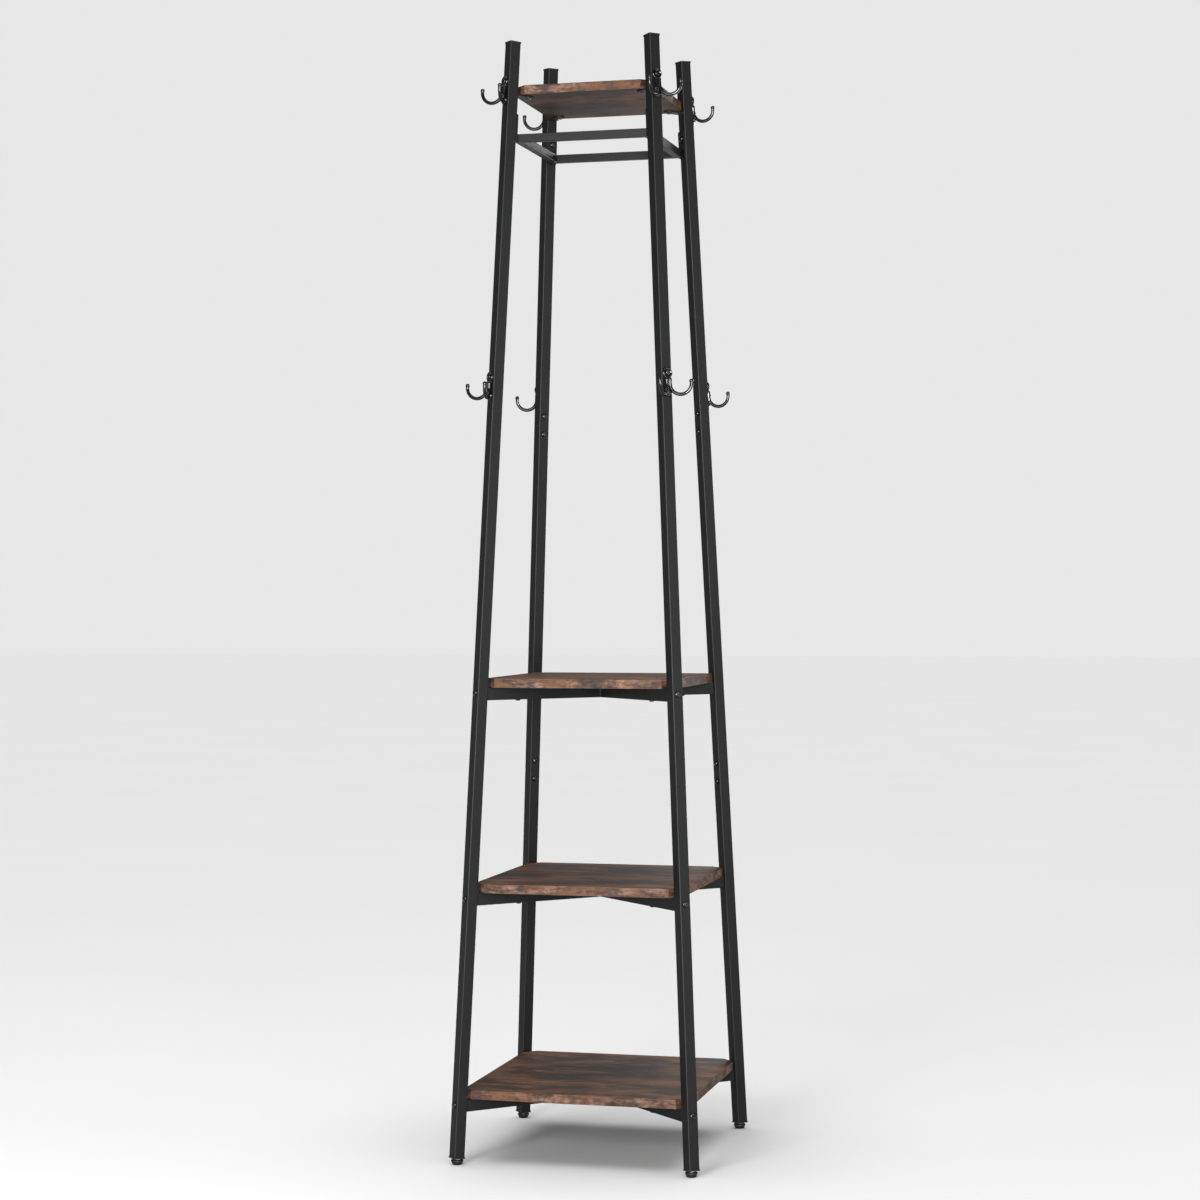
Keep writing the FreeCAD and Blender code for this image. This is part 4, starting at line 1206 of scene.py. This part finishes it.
def waist():
    """The web between the round ends, pinched in the middle and fuller where arms leave."""
    shape = block(Vector((0, -WAIST, HEEL_AT)), Vector((PLATE - 0.2, WAIST, DISC_AT)))
    bmesh.ops.subdivide_edges(
        shape, edges=[e for e in shape.edges if lies_along(e, 2)], cuts=6, use_grid_fill=True)
    for vert in shape.verts:
        share = (vert.co.z - HEEL_AT) / (DISC_AT - HEEL_AT)
        vert.co.y *= 1.0 - 0.22 * math.sin(share * math.pi)
        vert.co.x *= 1.0 + 0.45 * math.sin(share * math.pi)
    return shape


print("plate", DISC_AT + DISC, "mm tall")

# %% Cast it, then put one on every leg and level
VOXEL = 0.5 * MM


def cast_hook():
    """Lay the solids over each other and remesh them into one smooth casting."""
    plate_middle = Matrix.Translation((PLATE / 2, 0, 0))
    arms = [moved(hook_arm(side), plate_middle) for side in (-1, 1)]
    rough = gather([disc_top(), heel(), waist()] + arms)
    moved(rough, Matrix.Scale(MM, 4))
    mesh = bpy.data.meshes.new("rough casting")
    rough.to_mesh(mesh)
    rough.free()
    casting = bpy.data.objects.new("rough casting", mesh)
    bpy.context.scene.collection.objects.link(casting)
    skin = casting.modifiers.new("skin", "REMESH")
    skin.mode = "VOXEL"
    skin.voxel_size = VOXEL
    flow = casting.modifiers.new("flow", "SMOOTH")
    flow.factor = 0.5
    flow.iterations = 5
    graph = bpy.context.evaluated_depsgraph_get()
    smooth = bpy.data.meshes.new_from_object(casting.evaluated_get(graph))
    bpy.data.objects.remove(casting)
    return smooth


CASTING = cast_hook()
print("casting has", len(CASTING.polygons), "faces")
for leg in LEGS:
    for level in LEVELS:
        node = "%s_%s_hook" % (leg, level)
        low, high = corners_in(node, PLACES[leg])
        at = Matrix.Translation((low.x, 0, high.z - (DISC_AT + DISC) * MM))
        shape = bmesh.new()
        shape.from_mesh(CASTING)
        make_piece(
            "%s_%s_coat_hook" % (leg, level), shape, (HOOK_GLOSS,),
            (node,), place=PLACES[leg] @ at)
print("hooks placed:", len(LEGS) * len(LEVELS))

# %% [markdown]
# ## Weld beads
#
# Welded corners give steel furniture away: each has a low bead of ripples under the powder.
# A bead is a thin cylinder cut into slices, and every other slice is a little fatter.

# %% Beads
BEAD = 1.1 * MM
RIPPLE = 1.4 * MM


def bead(start, end):
    """A rippled bead from one point to another."""
    run = Vector(end) - Vector(start)
    slices = max(6, 2 * round(run.length / RIPPLE))
    shape = bmesh.new()
    bmesh.ops.create_cone(
        shape, cap_ends=True, segments=10, radius1=BEAD, radius2=BEAD, depth=run.length)
    sides = [e for e in shape.edges if lies_along(e, 2)]
    bmesh.ops.subdivide_edges(shape, edges=sides, cuts=slices)
    for vert in shape.verts:
        share = vert.co.z / run.length + 0.5
        swell = 0.72 + 0.2 * abs(math.sin(share * slices * math.pi / 2))
        taper = min(1.0, 0.45 + 6 * min(share, 1 - share))
        vert.co.x *= swell * taper
        vert.co.y *= swell * taper
    return moved(shape, facing((Vector(start) + Vector(end)) / 2, run.normalized(), 0))


def brace_beads(name):
    """Four upright beads in the corners where the bars of a brace cross."""
    low, high = corners_in(name + "_brace_long_bar", towards("back_right"))
    reach = high.y * math.sqrt(2)
    beads = []
    for direction in (Vector((1, 0, 0)), Vector((0, 1, 0)), Vector((-1, 0, 0)), Vector((0, -1, 0))):
        at = direction * reach
        beads.append(bead(at + Vector((0, 0, low.z + MM)), at + Vector((0, 0, high.z - MM))))
    return beads


for name in BRACED:
    make_piece(name + "_cross_welds", gather(brace_beads(name)), (POWDER,))


def tab_beads(points):
    """A level bead under a board's tab, where it meets the leg."""
    leg = leg_at(points)
    place = towards(leg)
    low, high = corners([place.inverted() @ p for p in points])
    at = PLACES[leg]
    face = place.inverted() @ (at @ Vector((-TUBE_HALF, 0, low.z / at.to_3x3().col[2].z)))
    start = Vector((face.x, low.y + 2 * MM, low.z))
    end = Vector((face.x, high.y - 2 * MM, low.z))
    return bead(place @ start, place @ end)


welds = [tab_beads(points) for points in solids_of("top_shelf_tabs")]
make_piece("board_tab_welds", gather(welds), (POWDER,))


def mitre_bead(leg):
    """An upright bead in the inner corner of the ring, where two rails are mitred."""
    low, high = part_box("front_ring_bar")
    inner = (abs(low.y) - (high.z - low.z)) * math.sqrt(2)
    at = towards(leg).to_3x3().col[0] * inner
    return bead(at + Vector((0, 0, low.z + MM)), at + Vector((0, 0, high.z - MM)))


make_piece(
    "ring_mitre_welds", gather([mitre_bead(leg) for leg in LEGS]), (POWDER,))
print("weld beads made")

# %% [markdown]
# ## Hidden steel
#
# The sleeves inside the joints and the threaded slugs in the braces never show. They keep
# the frame's own meshes, and get the zinc finish in place of the plain one.

# %% Finish the hidden steel
for node in ("leg_sleeves", "brace_end_slugs"):
    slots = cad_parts[node].material_slots
    for slot in slots:
        slot.material = ZINC
print("zinc on the sleeves and slugs")

# %% [markdown]
# ## Stage, light and camera
#
# A catalogue picture of black steel wants large soft lights: steel shows what it reflects,
# and a big light gives it long, even highlights. The main light is in front and to the
# left, and a wide soft sun overhead brightens the floor. Three more lights are only ever
# seen as reflections: the one at the right makes the faces that look right lighter than
# those that look left, the one in front draws the thin bright line down the rounded corner
# of each leg, and the one behind does the same for the back. The world is bright where the
# camera sees it and dimmer for everything else, so the backdrop stays pale without greying
# the black steel. The floor has no gloss at all, or those lights would leave patches on it.

# %% Floor
FLOOR_SIZE = 60.0


def pale_floor():
    finish = Finish("pale studio floor")
    at = finish.place()
    cloud = finish.noise(at, 1.5, 4.0)
    colour = finish.mix(cloud, (0.88, 0.88, 0.88, 1), (0.91, 0.91, 0.91, 1))
    return finish.surface(Base_Color=colour, Roughness=0.8 + 0.1 * cloud, Specular_IOR_Level=0.0)


ground = bmesh.new()
bmesh.ops.create_grid(ground, x_segments=2, y_segments=2, size=FLOOR_SIZE / 2)
mesh = bpy.data.meshes.new("studio_floor")
ground.to_mesh(mesh)
ground.free()
mesh.materials.append(pale_floor())
floor = bpy.data.objects.new("studio_floor", mesh)
bpy.context.scene.collection.objects.link(floor)
print("floor laid")

# %% Surroundings
bpy.context.scene.view_settings.view_transform = "Standard"
FILL = 0.24
BACKDROP = 0.8


def pale_world():
    """Seen directly the world is nearly white. It lights the object more gently."""
    world = bpy.data.worlds.new("bright studio")
    world.use_nodes = True
    tree = world.node_tree
    sky = tree.nodes["Background"]
    ray = tree.nodes.new("ShaderNodeLightPath")
    level = tree.nodes.new("ShaderNodeMapRange")
    level.inputs["To Min"].default_value = FILL
    level.inputs["To Max"].default_value = BACKDROP
    tree.links.new(ray.outputs["Is Camera Ray"], level.inputs["Value"])
    tree.links.new(level.outputs["Result"], sky.inputs["Strength"])
    sky.inputs["Color"].default_value = (1.0, 1.0, 1.0, 1)
    return world


bpy.context.scene.world = pale_world()
print("world lights at", FILL)


# %% Lights
MID_HEIGHT = (0, 0, 0.9)
CEILING_SPREAD = math.radians(60)


def aimed(name, lamp, spot, aim):
    """Put a lamp at a spot and turn it to look at a point."""
    holder = bpy.data.objects.new(name, lamp)
    look = (Vector(aim) - Vector(spot)).to_track_quat("-Z", "Y")
    holder.matrix_world = Matrix.Translation(spot) @ look.to_matrix().to_4x4()
    bpy.context.scene.collection.objects.link(holder)
    return holder


def soft_light(name, spot, aim, size, power):
    """A large rectangle of light that looks from a spot at a point."""
    lamp = bpy.data.lights.new(name, "AREA")
    lamp.shape = "RECTANGLE"
    lamp.size, lamp.size_y = size
    lamp.energy = power
    return aimed(name, lamp, spot, aim)


def sheen_light(name, spot, size, power):
    """A soft light at the height of the stand that is only seen as a reflection."""
    soft_light(name, spot, MID_HEIGHT, size, power).visible_diffuse = False


ceiling = bpy.data.lights.new("ceiling_light", "SUN")
ceiling.energy = 2.0
ceiling.angle = CEILING_SPREAD
aimed("ceiling_light", ceiling, (0, 0, 4), (0, 0, 0))
soft_light("front_light", (-0.6, -3.4, 1.0), (0, 0, 0.85), (1.2, 1.6), 95)
sheen_light("back_light", (0.4, 3.8, 1.6), (1.4, 2.0), 60)
sheen_light("side_sheen", (3.6, -1.1, 1.0), (1.2, 2.6), 80)
sheen_light("ridge_sheen", (1.3, -5.0, 1.2), (1.0, 2.3), 1000)
print("lights set")

# %% Camera
CAMERA_AT = Vector((1.0732, -4.1939, 0.9204))
CAMERA_YAW = 0.251
CAMERA_PITCH = -0.005
CAMERA_ROLL = -0.003
FOCAL_LENGTH = 78.91
SENSOR = 36.0
lens = bpy.data.cameras.new("catalogue_camera")
lens.lens = FOCAL_LENGTH
lens.sensor_width = SENSOR
camera = bpy.data.objects.new("catalogue_camera", lens)
camera.matrix_world = (
    Matrix.Translation(CAMERA_AT)
    @ Matrix.Rotation(CAMERA_YAW, 4, "Z")
    @ Matrix.Rotation(math.pi / 2 + CAMERA_PITCH, 4, "X")
    @ Matrix.Rotation(CAMERA_ROLL, 4, "Z"))
bpy.context.scene.collection.objects.link(camera)
bpy.context.scene.camera = camera
print("camera", round(CAMERA_AT.length, 2), "m from the foot of the stand")
